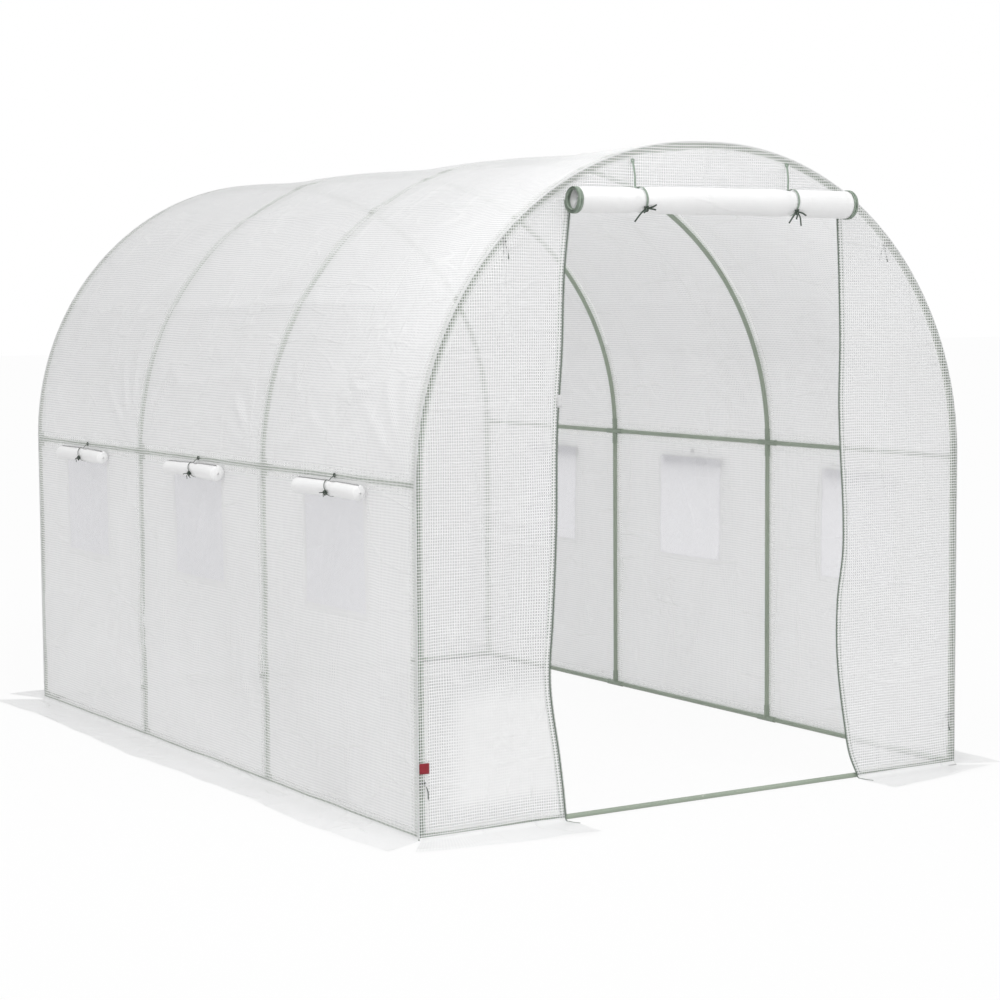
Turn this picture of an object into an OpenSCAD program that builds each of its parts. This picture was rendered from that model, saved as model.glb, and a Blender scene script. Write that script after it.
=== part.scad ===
// Walk-in polytunnel greenhouse: a steel tube frame of four hoops under a
// reinforced plastic cover with a roll-up door and six roll-up windows.
// Millimetres. X is across the tunnel, Y runs from the door (-Y) to the back,
// and Z is up. The origin is the centre of the footprint, on the ground.

/* [Frame] */
// Distance between neighbouring hoops, centre to centre
bay_l = 990; // [700:10:1400]
// Distance between the two long sides' tubes, centre to centre
frame_w = 2060; // [1600:10:2600]
// Height of the side rails' centre line above the ground
wall_h = 1040; // [800:10:1400]
// Distance from the middle of a hoop's top to the end of each bent tube
ridge_half = 30; // [20:1:60]
// Outer diameter of the tubes
tube_d = 16; // [12:0.5:25]
// Wall of the tubes
tube_wall = 0.8; // [0.5:0.1:2]

/* [Connectors] */
// Gap between a tube and the sleeve round it
fit_gap = 0.3; // [0.1:0.05:0.6]
// Wall of a connector's sleeves
sleeve_wall = 1.5; // [1:0.1:3]
// Length of a connector's arm from its centre
arm_l = 50; // [40:1:80]
// Depth of the stop between a tube's end and the tube that crosses it
stop_wall = 4; // [2:0.5:10]
// Length of the bent sleeve on each side of a hoop's top
ridge_sleeve_l = 22; // [12:1:40]
// Step down from a connector's straight sleeves to its bent ones
bend_step = 0.4; // [0.2:0.1:0.8]

/* [Cover] */
// Thickness of the cover sheet
cover_t = 2; // [1:0.5:4]
// Gap between the connectors and the cover that lies on them
cover_gap = 0.3; // [0.1:0.1:1]
// Gap between the end sheets and the wall and roof sheets they are sewn to
seam_gap = 0.3; // [0.1:0.1:0.6]
// Width of the skirt that lies on the ground
skirt_w = 170; // [80:5:300]

/* [Door] */
// Width of the door opening
door_w = 1080; // [700:10:1150]
// Distance from the top of the hoop's centre line down to the door's head
door_drop = 190; // [150:5:300]
// Diameter of the rolled-up door
door_roll_d = 88; // [50:1:110]
// Length of the rolled-up door without its bound ends
door_roll_l = 1028; // [600:1:1100]
// Height of the roll's centre over the door's head
door_roll_rise = 18; // [0:1:30]
// Length of the bound zip edge at each end of the roll
roll_end_l = 12; // [6:1:20]
// Diameter of the hollow in each bound end
roll_end_hole_d = 30; // [10:1:40]
// Depth of the hollow in each bound end
roll_end_hole_l = 8; // [3:1:10]
// Distance of each door tie from the middle of the door
door_tie_x = 295; // [150:5:400]
// Height of a door tie's sewn end over the roll's centre
door_tie_rise = 118; // [70:1:125]
// Width of the zip tape beside the door
zip_w = 8; // [5:0.5:20]
// Thickness of the zip tape with its teeth
zip_t = 3; // [1.5:0.5:5]

/* [Windows] */
// Width of a window's net
window_w = 380; // [200:10:500]
// Height of a window's net
window_h = 380; // [200:10:500]
// Distance from the side rail down to the top of a window's net
window_drop = 55; // [50:1:150]
// How much higher the left windows sit, and how much lower the right ones do,
// because the cover lies a little round to the left
cover_lean = 29; // [0:1:29]
// Width of the hem sewn round a window
border_w = 20; // [10:1:40]
// Thickness of the hem
border_t = 1; // [0.5:0.1:3]
// Thickness of the net
net_t = 1; // [0.5:0.1:2]
// Diameter of a rolled-up window flap
window_roll_d = 52; // [25:1:60]
// Length of a rolled-up window flap
window_roll_l = 460; // [250:5:600]
// Distance from the top of a window's net down to the roll's centre
window_roll_drop = 9; // [0:1:20]
// Height of a window tie's sewn end over the roll's centre
window_tie_rise = 36; // [25:1:60]

/* [Ties and tag] */
// Width of the tie tape
tie_w = 12; // [6:1:20]
// Thickness of the tie tape
tie_t = 1.2; // [0.8:0.1:1.4]
// Gap between a tie and what it holds
tie_gap = 0.3; // [0.1:0.1:0.6]
// Diameter of a knot
knot_d = 16; // [10:1:24]
// Length of a knot's loose tails
tail_l = 45; // [20:1:80]
// Height of the low frame ties above the ground
low_tie_z = 170; // [100:5:400]
// Width of the tag sewn in the corner seam
tag_w = 35; // [20:1:60]
// Height of the tag
tag_h = 31; // [20:1:60]
// Thickness of the tag
tag_t = 1.2; // [0.8:0.1:2]
// Height of the tag's lower edge above the ground
tag_z = 200; // [100:5:400]

/* [Hidden] */
$fn = 64;

FRAME_COLOUR = [0.55, 0.62, 0.54];
COVER_COLOUR = [0.92, 0.93, 0.94];
SKIRT_COLOUR = [0.86, 0.87, 0.87];
NET_COLOUR = [0.85, 0.84, 0.92];
HEM_COLOUR = [0.97, 0.97, 0.97];
TIE_COLOUR = [0.40, 0.48, 0.42];
TAG_COLOUR = [0.75, 0.06, 0.10];

// Frame, worked out from the driving sizes
bays = 3;
frame_l = bays * bay_l;
half_w = frame_w / 2;
half_l = frame_l / 2;
arch_r = half_w - ridge_half;
bend_l = arch_r * PI / 2;
crown_z = wall_h + arch_r;
tube_r = tube_d / 2;
bore_r = tube_r + fit_gap;
sleeve_r = bore_r + sleeve_wall;
tube_stop = tube_r + stop_wall;
base_z = sleeve_r;
cut = 1;
function arc_angle(length) = length / arch_r * 180 / PI;
function hoop_y(i) = -half_l + i * bay_l;
function bay_y(i) = hoop_y(i) + bay_l / 2;

// Cover: its inner face clears the sleeves, and its outer face is cover_t further out
cover_off = sleeve_r + cover_gap;
in_x = half_w + cover_off;
out_x = in_x + cover_t;
in_y = half_l + cover_off;
out_y = in_y + cover_t;
roof_in_r = arch_r + cover_off;
roof_out_r = roof_in_r + cover_t;
door_h = crown_z - door_drop;

// Rolls: each hangs in a tie, and the tie lies on the cover or on a window's hem
function roll_off(roll_d) = roll_d / 2 + tie_gap + tie_t;
door_roll_y = -out_y - roll_off(door_roll_d);
door_roll_z = door_h + door_roll_rise;
window_roll_x = out_x + border_t + roll_off(window_roll_d);
SIDES = [-1, 1];
function window_top(side) = wall_h - window_drop - side * cover_lean;
function window_sill(side) = window_top(side) - window_h;
function window_mid(side) = window_top(side) - window_h / 2;
function window_roll_z(side) = window_top(side) - window_roll_drop;

// ---- tubes ----

// A straight run along +X, from one distance to another
module run(r, from, to) {
    translate([from, 0, 0])
        rotate([0, 90, 0])
            cylinder(r = r, h = to - from);
}

// A round run along the right half of a hoop: up the bend from one length to
// another, measured from the side rail
module bend_run(r, from, to) {
    translate([ridge_half, 0, wall_h])
        rotate([90, 0, 0])
            rotate([0, 0, arc_angle(from)])
                rotate_extrude(angle = arc_angle(to - from))
                    translate([arch_r, 0])
                        circle(r = r);
}

module half_arch_tube() {
    difference() {
        bend_run(tube_r, tube_stop, bend_l - fit_gap);
        bend_run(tube_r - tube_wall, tube_stop - cut, bend_l + cut);
    }
}

module arch(i) {
    color(FRAME_COLOUR)
        translate([0, hoop_y(i), 0]) {
            half_arch_tube();
            mirror([1, 0, 0])
                half_arch_tube();
        }
}

// A straight tube along +X between two connectors' centres
module tube(length) {
    difference() {
        run(tube_r, tube_stop, length - tube_stop);
        run(tube_r - tube_wall, tube_stop - cut, length - tube_stop + cut);
    }
}

module tube_along_y(length) {
    rotate([0, 0, 90])
        tube(length);
}

module tube_up(length) {
    rotate([0, -90, 0])
        tube(length);
}

module legs(side) {
    color(FRAME_COLOUR)
        for (i = [0 : bays])
            translate([side * half_w, hoop_y(i), base_z])
                tube_up(wall_h - base_z);
}

// One rail of as many tubes as there are bays
module rail(x, z) {
    for (i = [0 : bays - 1])
        translate([x, hoop_y(i), z])
            tube_along_y(bay_l);
}

module side_rails() {
    color(FRAME_COLOUR)
        for (side = SIDES)
            rail(side * half_w, wall_h);
}

module ridge_rail() {
    color(FRAME_COLOUR)
        rail(0, crown_z);
}

module base_rails() {
    color(FRAME_COLOUR)
        for (side = SIDES)
            rail(side * half_w, base_z);
}

module base_bar(y) {
    color(FRAME_COLOUR)
        translate([-half_w, y, base_z])
            tube(frame_w);
}

// ---- connectors ----

// Directions that a connector's straight arms point in
UP = [0, -90, 0];
DOWN = [0, 90, 0];
RIGHT = [0, 0, 0];
LEFT = [0, 0, 180];
BACK = [0, 0, 90];
FRONT = [0, 0, -90];

// A ball with a sleeve along each arm, bored for its tubes
module connector(arms) {
    difference() {
        union() {
            sphere(r = sleeve_r);
            for (arm = arms)
                rotate(arm)
                    run(sleeve_r, 0, arm_l);
        }
        for (arm = arms)
            rotate(arm)
                run(bore_r, tube_stop - cut, arm_l + cut);
    }
}

module corner_feet() {
    color(FRAME_COLOUR)
        for (side = SIDES, end = SIDES)
            translate([side * half_w, end * half_l, base_z])
                connector([UP, side > 0 ? LEFT : RIGHT, end > 0 ? FRONT : BACK]);
}

module base_tees() {
    color(FRAME_COLOUR)
        for (side = SIDES, i = [1 : bays - 1])
            translate([side * half_w, hoop_y(i), base_z])
                connector([UP, FRONT, BACK]);
}

// The connector where a hoop meets its right side rail: a straight sleeve on
// the leg and on each rail, and a bent one on the arch
module rail_connector(arms) {
    difference() {
        union() {
            translate([half_w, 0, wall_h])
                connector(concat([DOWN], arms));
            bend_run(sleeve_r - bend_step, 0, arm_l);
        }
        bend_run(bore_r, tube_stop - cut, arm_l + cut);
    }
}

module on_both_sides() {
    children();
    mirror([1, 0, 0])
        children();
}

module rail_end_tees() {
    color(FRAME_COLOUR)
        for (end = SIDES)
            translate([0, end * half_l, 0])
                on_both_sides()
                    rail_connector([end > 0 ? FRONT : BACK]);
}

module rail_crosses() {
    color(FRAME_COLOUR)
        for (i = [1 : bays - 1])
            translate([0, hoop_y(i), 0])
                on_both_sides()
                    rail_connector([FRONT, BACK]);
}

// The connector at a hoop's top: a straight body between the ends of the two
// bent tubes, a bent sleeve on each of them, and a straight one on each rail
module ridge_connector(arms) {
    body_half = ridge_half + stop_wall;
    difference() {
        union() {
            translate([0, 0, crown_z]) {
                connector(arms);
                run(sleeve_r, -body_half, body_half);
            }
            on_both_sides()
                bend_run(sleeve_r - bend_step, bend_l - ridge_sleeve_l, bend_l);
        }
        on_both_sides()
            bend_run(bore_r, bend_l - ridge_sleeve_l - cut, bend_l);
    }
}

module ridge_end_tees() {
    color(FRAME_COLOUR)
        for (end = SIDES)
            translate([0, end * half_l, 0])
                ridge_connector([end > 0 ? FRONT : BACK]);
}

module ridge_crosses() {
    color(FRAME_COLOUR)
        for (i = [1 : bays - 1])
            translate([0, hoop_y(i), 0])
                ridge_connector([FRONT, BACK]);
}

// ---- cover ----

// A flat shape drawn in X and Z, given thickness from one Y to another
module across(from, to) {
    translate([0, to, 0])
        rotate([90, 0, 0])
            linear_extrude(to - from)
                children();
}

module window_holes(side) {
    for (i = [0 : bays - 1])
        translate([-cut, bay_y(i) - window_w / 2, window_sill(side)])
            cube([cover_t + 2 * cut, window_w, window_h]);
}

module wall_cover(side) {
    color(COVER_COLOUR)
        translate([side > 0 ? in_x : -out_x, 0, 0])
            difference() {
                translate([0, -out_y, 0])
                    cube([cover_t, 2 * out_y, wall_h]);
                window_holes(side);
            }
}

// The right half of the roof sheet, cut along the ridge
module half_roof() {
    across(-out_y, out_y) {
        translate([ridge_half, wall_h])
            intersection() {
                difference() {
                    circle(r = roof_out_r);
                    circle(r = roof_in_r);
                }
                square(roof_out_r + cut);
            }
        translate([0, wall_h + roof_in_r])
            square([ridge_half, cover_t]);
    }
}

module left_roof_cover() {
    color(COVER_COLOUR)
        mirror([1, 0, 0])
            half_roof();
}

module right_roof_cover() {
    color(COVER_COLOUR)
        half_roof();
}

// The outline of an end of the tunnel, inside the walls and the roof
module end_outline() {
    side_x = in_x - seam_gap;
    top_r = roof_in_r - seam_gap;
    translate([-side_x, 0])
        square([2 * side_x, wall_h]);
    intersection() {
        union() {
            for (side = SIDES)
                translate([side * ridge_half, wall_h])
                    circle(r = top_r);
            translate([-ridge_half, wall_h])
                square([2 * ridge_half, top_r]);
        }
        translate([-side_x, wall_h])
            square([2 * side_x, top_r]);
    }
}

module front_sheet() {
    across(-out_y, -in_y)
        children();
}

module front_side_panel(side) {
    color(COVER_COLOUR)
        front_sheet()
            intersection() {
                end_outline();
                translate([side > 0 ? door_w / 2 : -in_x, 0])
                    square([in_x - door_w / 2, crown_z]);
            }
}

module front_gable_panel() {
    color(COVER_COLOUR)
        front_sheet()
            intersection() {
                end_outline();
                translate([-door_w / 2, door_h])
                    square([door_w, crown_z]);
            }
}

module back_end_panel() {
    color(COVER_COLOUR)
        across(in_y, out_y)
            end_outline();
}

// A skirt on the ground from the left wall out, with cut-off corners
module side_skirt() {
    edge = out_x + skirt_w;
    mid = skirt_w / 2;
    color(SKIRT_COLOUR)
        linear_extrude(cover_t)
            polygon([
                [-out_x, -out_y], [-out_x - mid, -out_y - mid], [-edge, -out_y],
                [-edge, out_y], [-out_x - mid, out_y + mid], [-out_x, out_y]
            ]);
}

module right_skirt() {
    mirror([1, 0, 0])
        side_skirt();
}

// The skirt along the front, to the left of the door
module front_left_skirt() {
    edge = out_y + skirt_w;
    mid = skirt_w / 2;
    color(SKIRT_COLOUR)
        linear_extrude(cover_t)
            polygon([
                [-out_x, -out_y], [-out_x - mid, -out_y - mid], [-out_x, -edge],
                [-door_w / 2, -edge], [-door_w / 2, -out_y]
            ]);
}

module front_right_skirt() {
    mirror([1, 0, 0])
        front_left_skirt();
}

module back_skirt() {
    edge = out_y + skirt_w;
    mid = skirt_w / 2;
    color(SKIRT_COLOUR)
        linear_extrude(cover_t)
            polygon([
                [-out_x, out_y], [-out_x - mid, out_y + mid], [-out_x, edge],
                [out_x, edge], [out_x + mid, out_y + mid], [out_x, out_y]
            ]);
}

// ---- windows ----

module window_nets(side) {
    color(NET_COLOUR)
        for (i = [0 : bays - 1])
            translate([side * (in_x + cover_t / 2), bay_y(i), window_mid(side)])
                cube([net_t, window_w, window_h], center = true);
}

module window_borders(side) {
    outer_w = window_w + 2 * border_w;
    outer_h = window_h + 2 * border_w;
    color(HEM_COLOUR)
        for (i = [0 : bays - 1])
            translate([side * (out_x + border_t / 2), bay_y(i), window_mid(side)])
                difference() {
                    cube([border_t, outer_w, outer_h], center = true);
                    cube([border_t + 2 * cut, window_w, window_h], center = true);
                }
}

module window_rolls(side) {
    color(HEM_COLOUR)
        for (i = [0 : bays - 1])
            translate([side * window_roll_x, bay_y(i), window_roll_z(side)])
                rotate([90, 0, 0])
                    cylinder(d = window_roll_d, h = window_roll_l, center = true);
}

// ---- ties ----

// A tape tie round a roll that lies along X in front of a sheet at +Y: the
// loop, its sewn end up the sheet, and a knot in front with two tails
module roll_tie(roll_d, rise) {
    inner_r = roll_d / 2 + tie_gap;
    outer_r = inner_r + tie_t;
    knot_at = (inner_r + outer_r + knot_d) / 2;
    color(TIE_COLOUR) {
        rotate([0, 90, 0])
            difference() {
                cylinder(r = outer_r, h = tie_w, center = true);
                cylinder(r = inner_r, h = tie_w + 2 * cut, center = true);
            }
        translate([-tie_w / 2, outer_r - tie_t, 0])
            cube([tie_w, tie_t, rise]);
        rotate([30, 0, 0])
            translate([0, -knot_at, 0])
                knot();
    }
}

module knot() {
    rotate([0, 90, 0])
        cylinder(d = knot_d, h = knot_d, center = true);
    for (side = SIDES)
        rotate([0, side * 35, 0])
            translate([-tie_w / 4, -tie_t / 2, -tail_l])
                cube([tie_w / 2, tie_t, tail_l]);
}

module window_ties(side) {
    for (i = [0 : bays - 1])
        translate([side * window_roll_x, bay_y(i), window_roll_z(side)])
            rotate([0, 0, side * 90])
                roll_tie(window_roll_d, window_tie_rise);
}

module door_ties() {
    for (side = SIDES)
        translate([side * door_tie_x, door_roll_y, door_roll_z])
            roll_tie(door_roll_d, door_tie_rise);
}

// A tape tied round a frame tube that runs along Z, with its knot towards -X
module frame_tie() {
    inner_r = tube_r + tie_gap;
    outer_r = inner_r + tie_t;
    difference() {
        cylinder(r = outer_r, h = tie_w, center = true);
        cylinder(r = inner_r, h = tie_w + 2 * cut, center = true);
    }
    translate([-(inner_r + outer_r + knot_d) / 2, 0, 0])
        cylinder(d = knot_d, h = knot_d, center = true);
}

// Ties on the end hoops: halfway up each bend and low on each leg, knots inwards
module frame_ties() {
    color(TIE_COLOUR)
        for (side = SIDES, end = SIDES) {
            facing = [0, 0, side > 0 ? 0 : 180];
            translate([side * ridge_half, end * half_l, wall_h])
                rotate(facing)
                    rotate([0, -45, 0])
                        translate([arch_r, 0, 0])
                            frame_tie();
            translate([side * half_w, end * half_l, low_tie_z])
                rotate(facing)
                    frame_tie();
        }
}

// ---- door ----

module door_roll() {
    color(HEM_COLOUR)
        translate([0, door_roll_y, door_roll_z])
            run_centred(door_roll_d / 2, door_roll_l);
}

module run_centred(r, length) {
    run(r, -length / 2, length / 2);
}

// The zip edges of the door, wound into a ring at each end of the roll
module door_roll_ends() {
    color(TIE_COLOUR)
        translate([0, door_roll_y, door_roll_z])
            on_both_sides()
                translate([door_roll_l / 2, 0, 0])
                    difference() {
                        run(door_roll_d / 2, 0, roll_end_l);
                        run(roll_end_hole_d / 2, roll_end_l - roll_end_hole_l, roll_end_l + cut);
                    }
}

// The zip tape along an edge of the door opening, on the panel's outer face
module door_zip(side) {
    color(TIE_COLOUR)
        translate([side * (door_w + zip_w) / 2 - zip_w / 2, -out_y - zip_t, cover_t])
            cube([zip_w, zip_t, door_h - cover_t]);
}

module corner_tag() {
    color(TAG_COLOUR)
        translate([-out_x, -out_y - tag_t, tag_z])
            cube([tag_w, tag_t, tag_h]);
}

arch(0);  // front_arch
arch(1);  // second_arch
arch(2);  // third_arch
arch(3);  // back_arch
legs(-1);  // left_legs
legs(1);  // right_legs
side_rails();
ridge_rail();
base_rails();
base_bar(-half_l);  // front_base_bar
base_bar(half_l);  // back_base_bar
corner_feet();
base_tees();
rail_end_tees();
rail_crosses();
ridge_end_tees();
ridge_crosses();
wall_cover(-1);  // left_wall_cover
wall_cover(1);  // right_wall_cover
left_roof_cover();
right_roof_cover();
front_side_panel(-1);  // front_left_panel
front_side_panel(1);  // front_right_panel
front_gable_panel();
back_end_panel();
side_skirt();  // left_skirt
right_skirt();
front_left_skirt();
front_right_skirt();
back_skirt();
window_nets(-1);  // left_window_nets
window_nets(1);  // right_window_nets
window_borders(-1);  // left_window_borders
window_borders(1);  // right_window_borders
window_rolls(-1);  // left_window_rolls
window_rolls(1);  // right_window_rolls
window_ties(-1);  // left_window_ties
window_ties(1);  // right_window_ties
door_roll();
door_roll_ends();
door_ties();
door_zip(-1);  // left_door_zip
door_zip(1);  // right_door_zip
corner_tag();
frame_ties();
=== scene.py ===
# %% [markdown]
# # A walk-in polytunnel greenhouse
# The CAD frame already holds every tube, connector and flat piece of cover at its real size.
# This lesson dresses it: the tubes get paint, and the soft pieces are made again as real cloth,
# with folds, hems, zips and ties. Everything is in metres. Each piece starts from the place and
# size of its CAD solid, and only the folds, free edges and a few small shifts are set one by one.

import math

import bpy
import numpy as np
from mathutils import Matrix, Vector, noise


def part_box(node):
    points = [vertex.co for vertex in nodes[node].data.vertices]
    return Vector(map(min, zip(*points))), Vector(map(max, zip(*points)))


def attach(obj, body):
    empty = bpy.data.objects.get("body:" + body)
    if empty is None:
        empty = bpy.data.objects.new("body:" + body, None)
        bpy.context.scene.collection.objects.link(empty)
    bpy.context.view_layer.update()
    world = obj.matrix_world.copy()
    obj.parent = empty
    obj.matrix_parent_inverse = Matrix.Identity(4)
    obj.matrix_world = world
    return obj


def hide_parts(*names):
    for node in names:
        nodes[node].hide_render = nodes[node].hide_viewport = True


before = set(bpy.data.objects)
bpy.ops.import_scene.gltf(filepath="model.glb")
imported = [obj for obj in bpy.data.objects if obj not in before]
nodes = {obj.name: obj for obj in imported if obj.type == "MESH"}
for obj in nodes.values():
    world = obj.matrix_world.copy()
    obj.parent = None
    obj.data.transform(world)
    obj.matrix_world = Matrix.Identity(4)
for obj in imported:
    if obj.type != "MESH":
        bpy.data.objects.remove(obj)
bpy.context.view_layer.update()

# %% [markdown]
# ## The sizes that everything hangs on
# The cover is a sheet 2 mm thick in the CAD model. The cloth made here has no thickness, so it
# lies in the middle of that sheet. Its section is a wall, a quarter circle and a short flat
# ridge, then the same again on the other side.

# %% Sizes read from the frame
MM = 0.001
SIDES = (-1, 1)
HALF_SHEET = 1 * MM

wall_low, wall_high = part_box("left_wall_cover")
roof_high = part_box("left_roof_cover")[1]
skirt_low, skirt_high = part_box("left_skirt")
door_low, door_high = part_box("front_gable_panel")
leg_low, leg_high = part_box("left_legs")
door_roll_low, door_roll_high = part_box("door_roll")
WALLS = {-1: "left", 1: "right"}
net_box = {side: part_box(f"{wall}_window_nets") for side, wall in WALLS.items()}
border_box = {side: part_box(f"{wall}_window_borders") for side, wall in WALLS.items()}
roll_box = {side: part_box(f"{wall}_window_rolls") for side, wall in WALLS.items()}

half_w = -wall_low[0] - HALF_SHEET
half_l = wall_high[1] - HALF_SHEET
wall_h = wall_high[2]
crown_z = roof_high[2] - HALF_SHEET
roof_r = crown_z - wall_h
ridge_half = half_w - roof_r
skirt_w = skirt_high[0] - skirt_low[0]
skirt_flare = skirt_high[1] - wall_high[1]
door_h = door_low[2]
BAYS = 3
bay_l = -sum(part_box("second_arch")[end][1] for end in (0, 1))
hoop_ys = [(i - BAYS / 2) * bay_l for i in range(BAYS + 1)]
bay_ys = [(i - (BAYS - 1) / 2) * bay_l for i in range(BAYS)]

tube_x = -(leg_low[0] + leg_high[0]) / 2
tube_r = (leg_high[0] - leg_low[0]) / 2
hoop_r = tube_x - ridge_half
base_z = sum(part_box("base_rails")[end][2] for end in (0, 1)) / 2
s_eaves = ridge_half + roof_r * math.pi / 2
s_ground = s_eaves + wall_h
print("cover:", round(2 * half_w, 3), "wide,", round(2 * half_l, 3), "long,", round(crown_z, 3), "high")
print("bay length", round(bay_l, 3), "hoops at", [round(y, 3) for y in hoop_ys])

# %% [markdown]
# ## Camera, light and floor
# The tunnel stands on a plain pale floor in soft light, as in a catalogue. The world is a plain
# white, a little dimmer as a light than as a background. One wide soft sun gives the folds their
# shape, and a round lamp above the front left corner lifts that side. The floor mixes in its own
# white for the camera and keeps a faint shadow, and past the film it is a plain pale floor.

# %% Camera
bpy.ops.object.select_all(action="DESELECT")
camera_data = bpy.data.cameras.new("camera")
camera_data.lens = 84.98
camera_data.sensor_width = 36
camera = bpy.data.objects.new("camera", camera_data)
bpy.context.collection.objects.link(camera)
CAMERA_AT = Vector((-4.4008, -7.3702, 1.5742))
CAMERA_YAW, CAMERA_PITCH, CAMERA_ROLL = (math.radians(a) for a in (31.823, -4.864, -0.4036))
camera.matrix_world = (
    Matrix.Translation(CAMERA_AT)
    @ Matrix.Rotation(-CAMERA_YAW, 4, "Z")
    @ Matrix.Rotation(math.pi / 2 + CAMERA_PITCH, 4, "X")
    @ Matrix.Rotation(CAMERA_ROLL, 4, "Z")
)
bpy.context.scene.camera = camera
print("camera", round(CAMERA_AT.length, 2), "m from the middle of the tunnel")


# %% Helpers for nodes
def add_node(tree, kind, inputs=(), **settings):
    """A new node with its settings and inputs. An input is a value, or a socket to link."""
    made = tree.nodes.new(kind)
    for name, value in settings.items():
        setattr(made, name, value)
    for key, value in dict(inputs).items():
        if isinstance(value, bpy.types.NodeSocket):
            tree.links.new(value, made.inputs[key])
        else:
            made.inputs[key].default_value = value
    return made


def calc(tree, operation, *values):
    """The output of a Math node."""
    made = add_node(tree, "ShaderNodeMath", enumerate(values), operation=operation)
    return made.outputs[0]


def less(tree, value, other):
    return calc(tree, "SUBTRACT", value, other)


def times(tree, value, other):
    return calc(tree, "MULTIPLY", value, other)


def distance(tree, value, place):
    """How far a value is from a place."""
    return calc(tree, "ABSOLUTE", less(tree, value, place))


def ramp(tree, value, start, end, low=0.0, high=1.0, kind="SMOOTHSTEP"):
    """A step from low at start to high at end."""
    inputs = {0: value, 1: start, 2: end, 3: low, 4: high}
    return add_node(tree, "ShaderNodeMapRange", inputs, interpolation_type=kind).outputs[0]


def vector_calc(tree, operation, *values, **named):
    """The output of a Vector Math node."""
    inputs = {**dict(enumerate(values)), **named}
    return add_node(tree, "ShaderNodeVectorMath", inputs, operation=operation).outputs[0]


def split(tree, vector):
    """The x, y and z of a vector."""
    return add_node(tree, "ShaderNodeSeparateXYZ", {0: vector}).outputs


def noise_map(tree, vector, scale, detail=2.0, **more):
    """The outputs of a Noise texture."""
    inputs = {"Vector": vector, "Scale": scale, "Detail": detail, **more}
    return add_node(tree, "ShaderNodeTexNoise", inputs).outputs


def blend_colours(tree, factor, a, b):
    """Colour a where factor is 0, b where it is 1."""
    return add_node(tree, "ShaderNodeMix", {0: factor, 6: a, 7: b}, data_type="RGBA").outputs[2]


def blend_values(tree, factor, a, b):
    """Value a where factor is 0, b where it is 1."""
    return calc(tree, "ADD", times(tree, less(tree, 1.0, factor), a), times(tree, factor, b))


def seen_rays(tree):
    """1 for rays that should see a plain white background: camera, glossy and transmission."""
    path = add_node(tree, "ShaderNodeLightPath")
    seen = calc(tree, "MAXIMUM", path.outputs["Is Camera Ray"], path.outputs["Is Glossy Ray"])
    return calc(tree, "MAXIMUM", seen, path.outputs["Is Transmission Ray"])


# %% World, lights and floor
FLOOR_GLOW = 0.92
WORLD_LIGHT = 0.79
SUN_LIGHT = 0.5
LAMP_LIGHT = 48
world = bpy.data.worlds.new("studio")
bpy.context.scene.world = world
world.use_nodes = True
world.node_tree.nodes.clear()
tree = world.node_tree
level = ramp(tree, seen_rays(tree), 0.0, 1.0, WORLD_LIGHT, 1.0, "LINEAR")
background = add_node(tree, "ShaderNodeBackground", {0: (1, 1, 1, 1), 1: level})
add_node(tree, "ShaderNodeOutputWorld", {0: background.outputs[0]})

sun_data = bpy.data.lights.new("soft_sun", "SUN")
sun_data.energy = SUN_LIGHT
sun_data.angle = math.radians(30)
sun = bpy.data.objects.new("soft_sun", sun_data)
sun.rotation_euler = (math.radians(50), 0, math.radians(8))
bpy.context.collection.objects.link(sun)

lamp_data = bpy.data.lights.new("front_lamp", "AREA")
lamp_data.shape = "DISK"
lamp_data.size = 2.4
lamp_data.energy = LAMP_LIGHT
lamp = bpy.data.objects.new("front_lamp", lamp_data)
lamp_from, lamp_to = Vector((-1.8, -2.2, 4.4)), Vector((-0.4, -1.0, 1.5))
lamp.location = lamp_from
lamp.rotation_euler = (lamp_to - lamp_from).to_track_quat("-Z", "Y").to_euler()
lamp.visible_camera = False
bpy.context.collection.objects.link(lamp)

bpy.ops.mesh.primitive_plane_add(size=120, location=(0, 0, -0.5 * MM))
floor = bpy.context.object
floor.name = "floor"
floor_paint = bpy.data.materials.new("floor_paint")
floor_paint.use_nodes = True
tree = floor_paint.node_tree
tree.nodes.clear()
diffuse = add_node(tree, "ShaderNodeBsdfDiffuse", {0: (0.86, 0.86, 0.86, 1)})
glow = add_node(tree, "ShaderNodeEmission", {0: (1, 1, 1, 1), 1: 1.0})
past_film = add_node(tree, "ShaderNodeLightPath").outputs["Transparent Depth"]
level = ramp(tree, past_film, 0.0, 1.0, FLOOR_GLOW, 0.0, "LINEAR")
share = times(tree, seen_rays(tree), level)
mixed = add_node(tree, "ShaderNodeMixShader", {0: share, 1: diffuse.outputs[0], 2: glow.outputs[0]})
add_node(tree, "ShaderNodeOutputMaterial", {0: mixed.outputs[0]})
floor.data.materials.append(floor_paint)
bpy.context.scene.view_settings.view_transform = "Standard"
print("world at", WORLD_LIGHT, "sun at", SUN_LIGHT, "lamp at", LAMP_LIGHT, "W")

# %% [markdown]
# ## Patterns that several finishes share
# The cover is a clear film laminated over a grid of white threads, 8 to 9 mm apart. Close up
# the threads are white, and the film between them lets some light straight through, which is
# why the tubes behind show only as rows of dots. That pattern is one node group. Others hold
# the cloudy shade of plastic, its crumples, and the weave of a tape.


# %% Node groups
def new_group(name, inputs, outputs):
    """An empty shader node group: (tree, its input node, its output node)."""
    group = bpy.data.node_groups.new(name, "ShaderNodeTree")
    for socket, kind in inputs.items():
        group.interface.new_socket(socket, in_out="INPUT", socket_type=kind)
    for socket, kind in outputs.items():
        group.interface.new_socket(socket, in_out="OUTPUT", socket_type=kind)
    return group, group.nodes.new("NodeGroupInput"), group.nodes.new("NodeGroupOutput")


FLOAT, VECTOR = "NodeSocketFloat", "NodeSocketVector"


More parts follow.
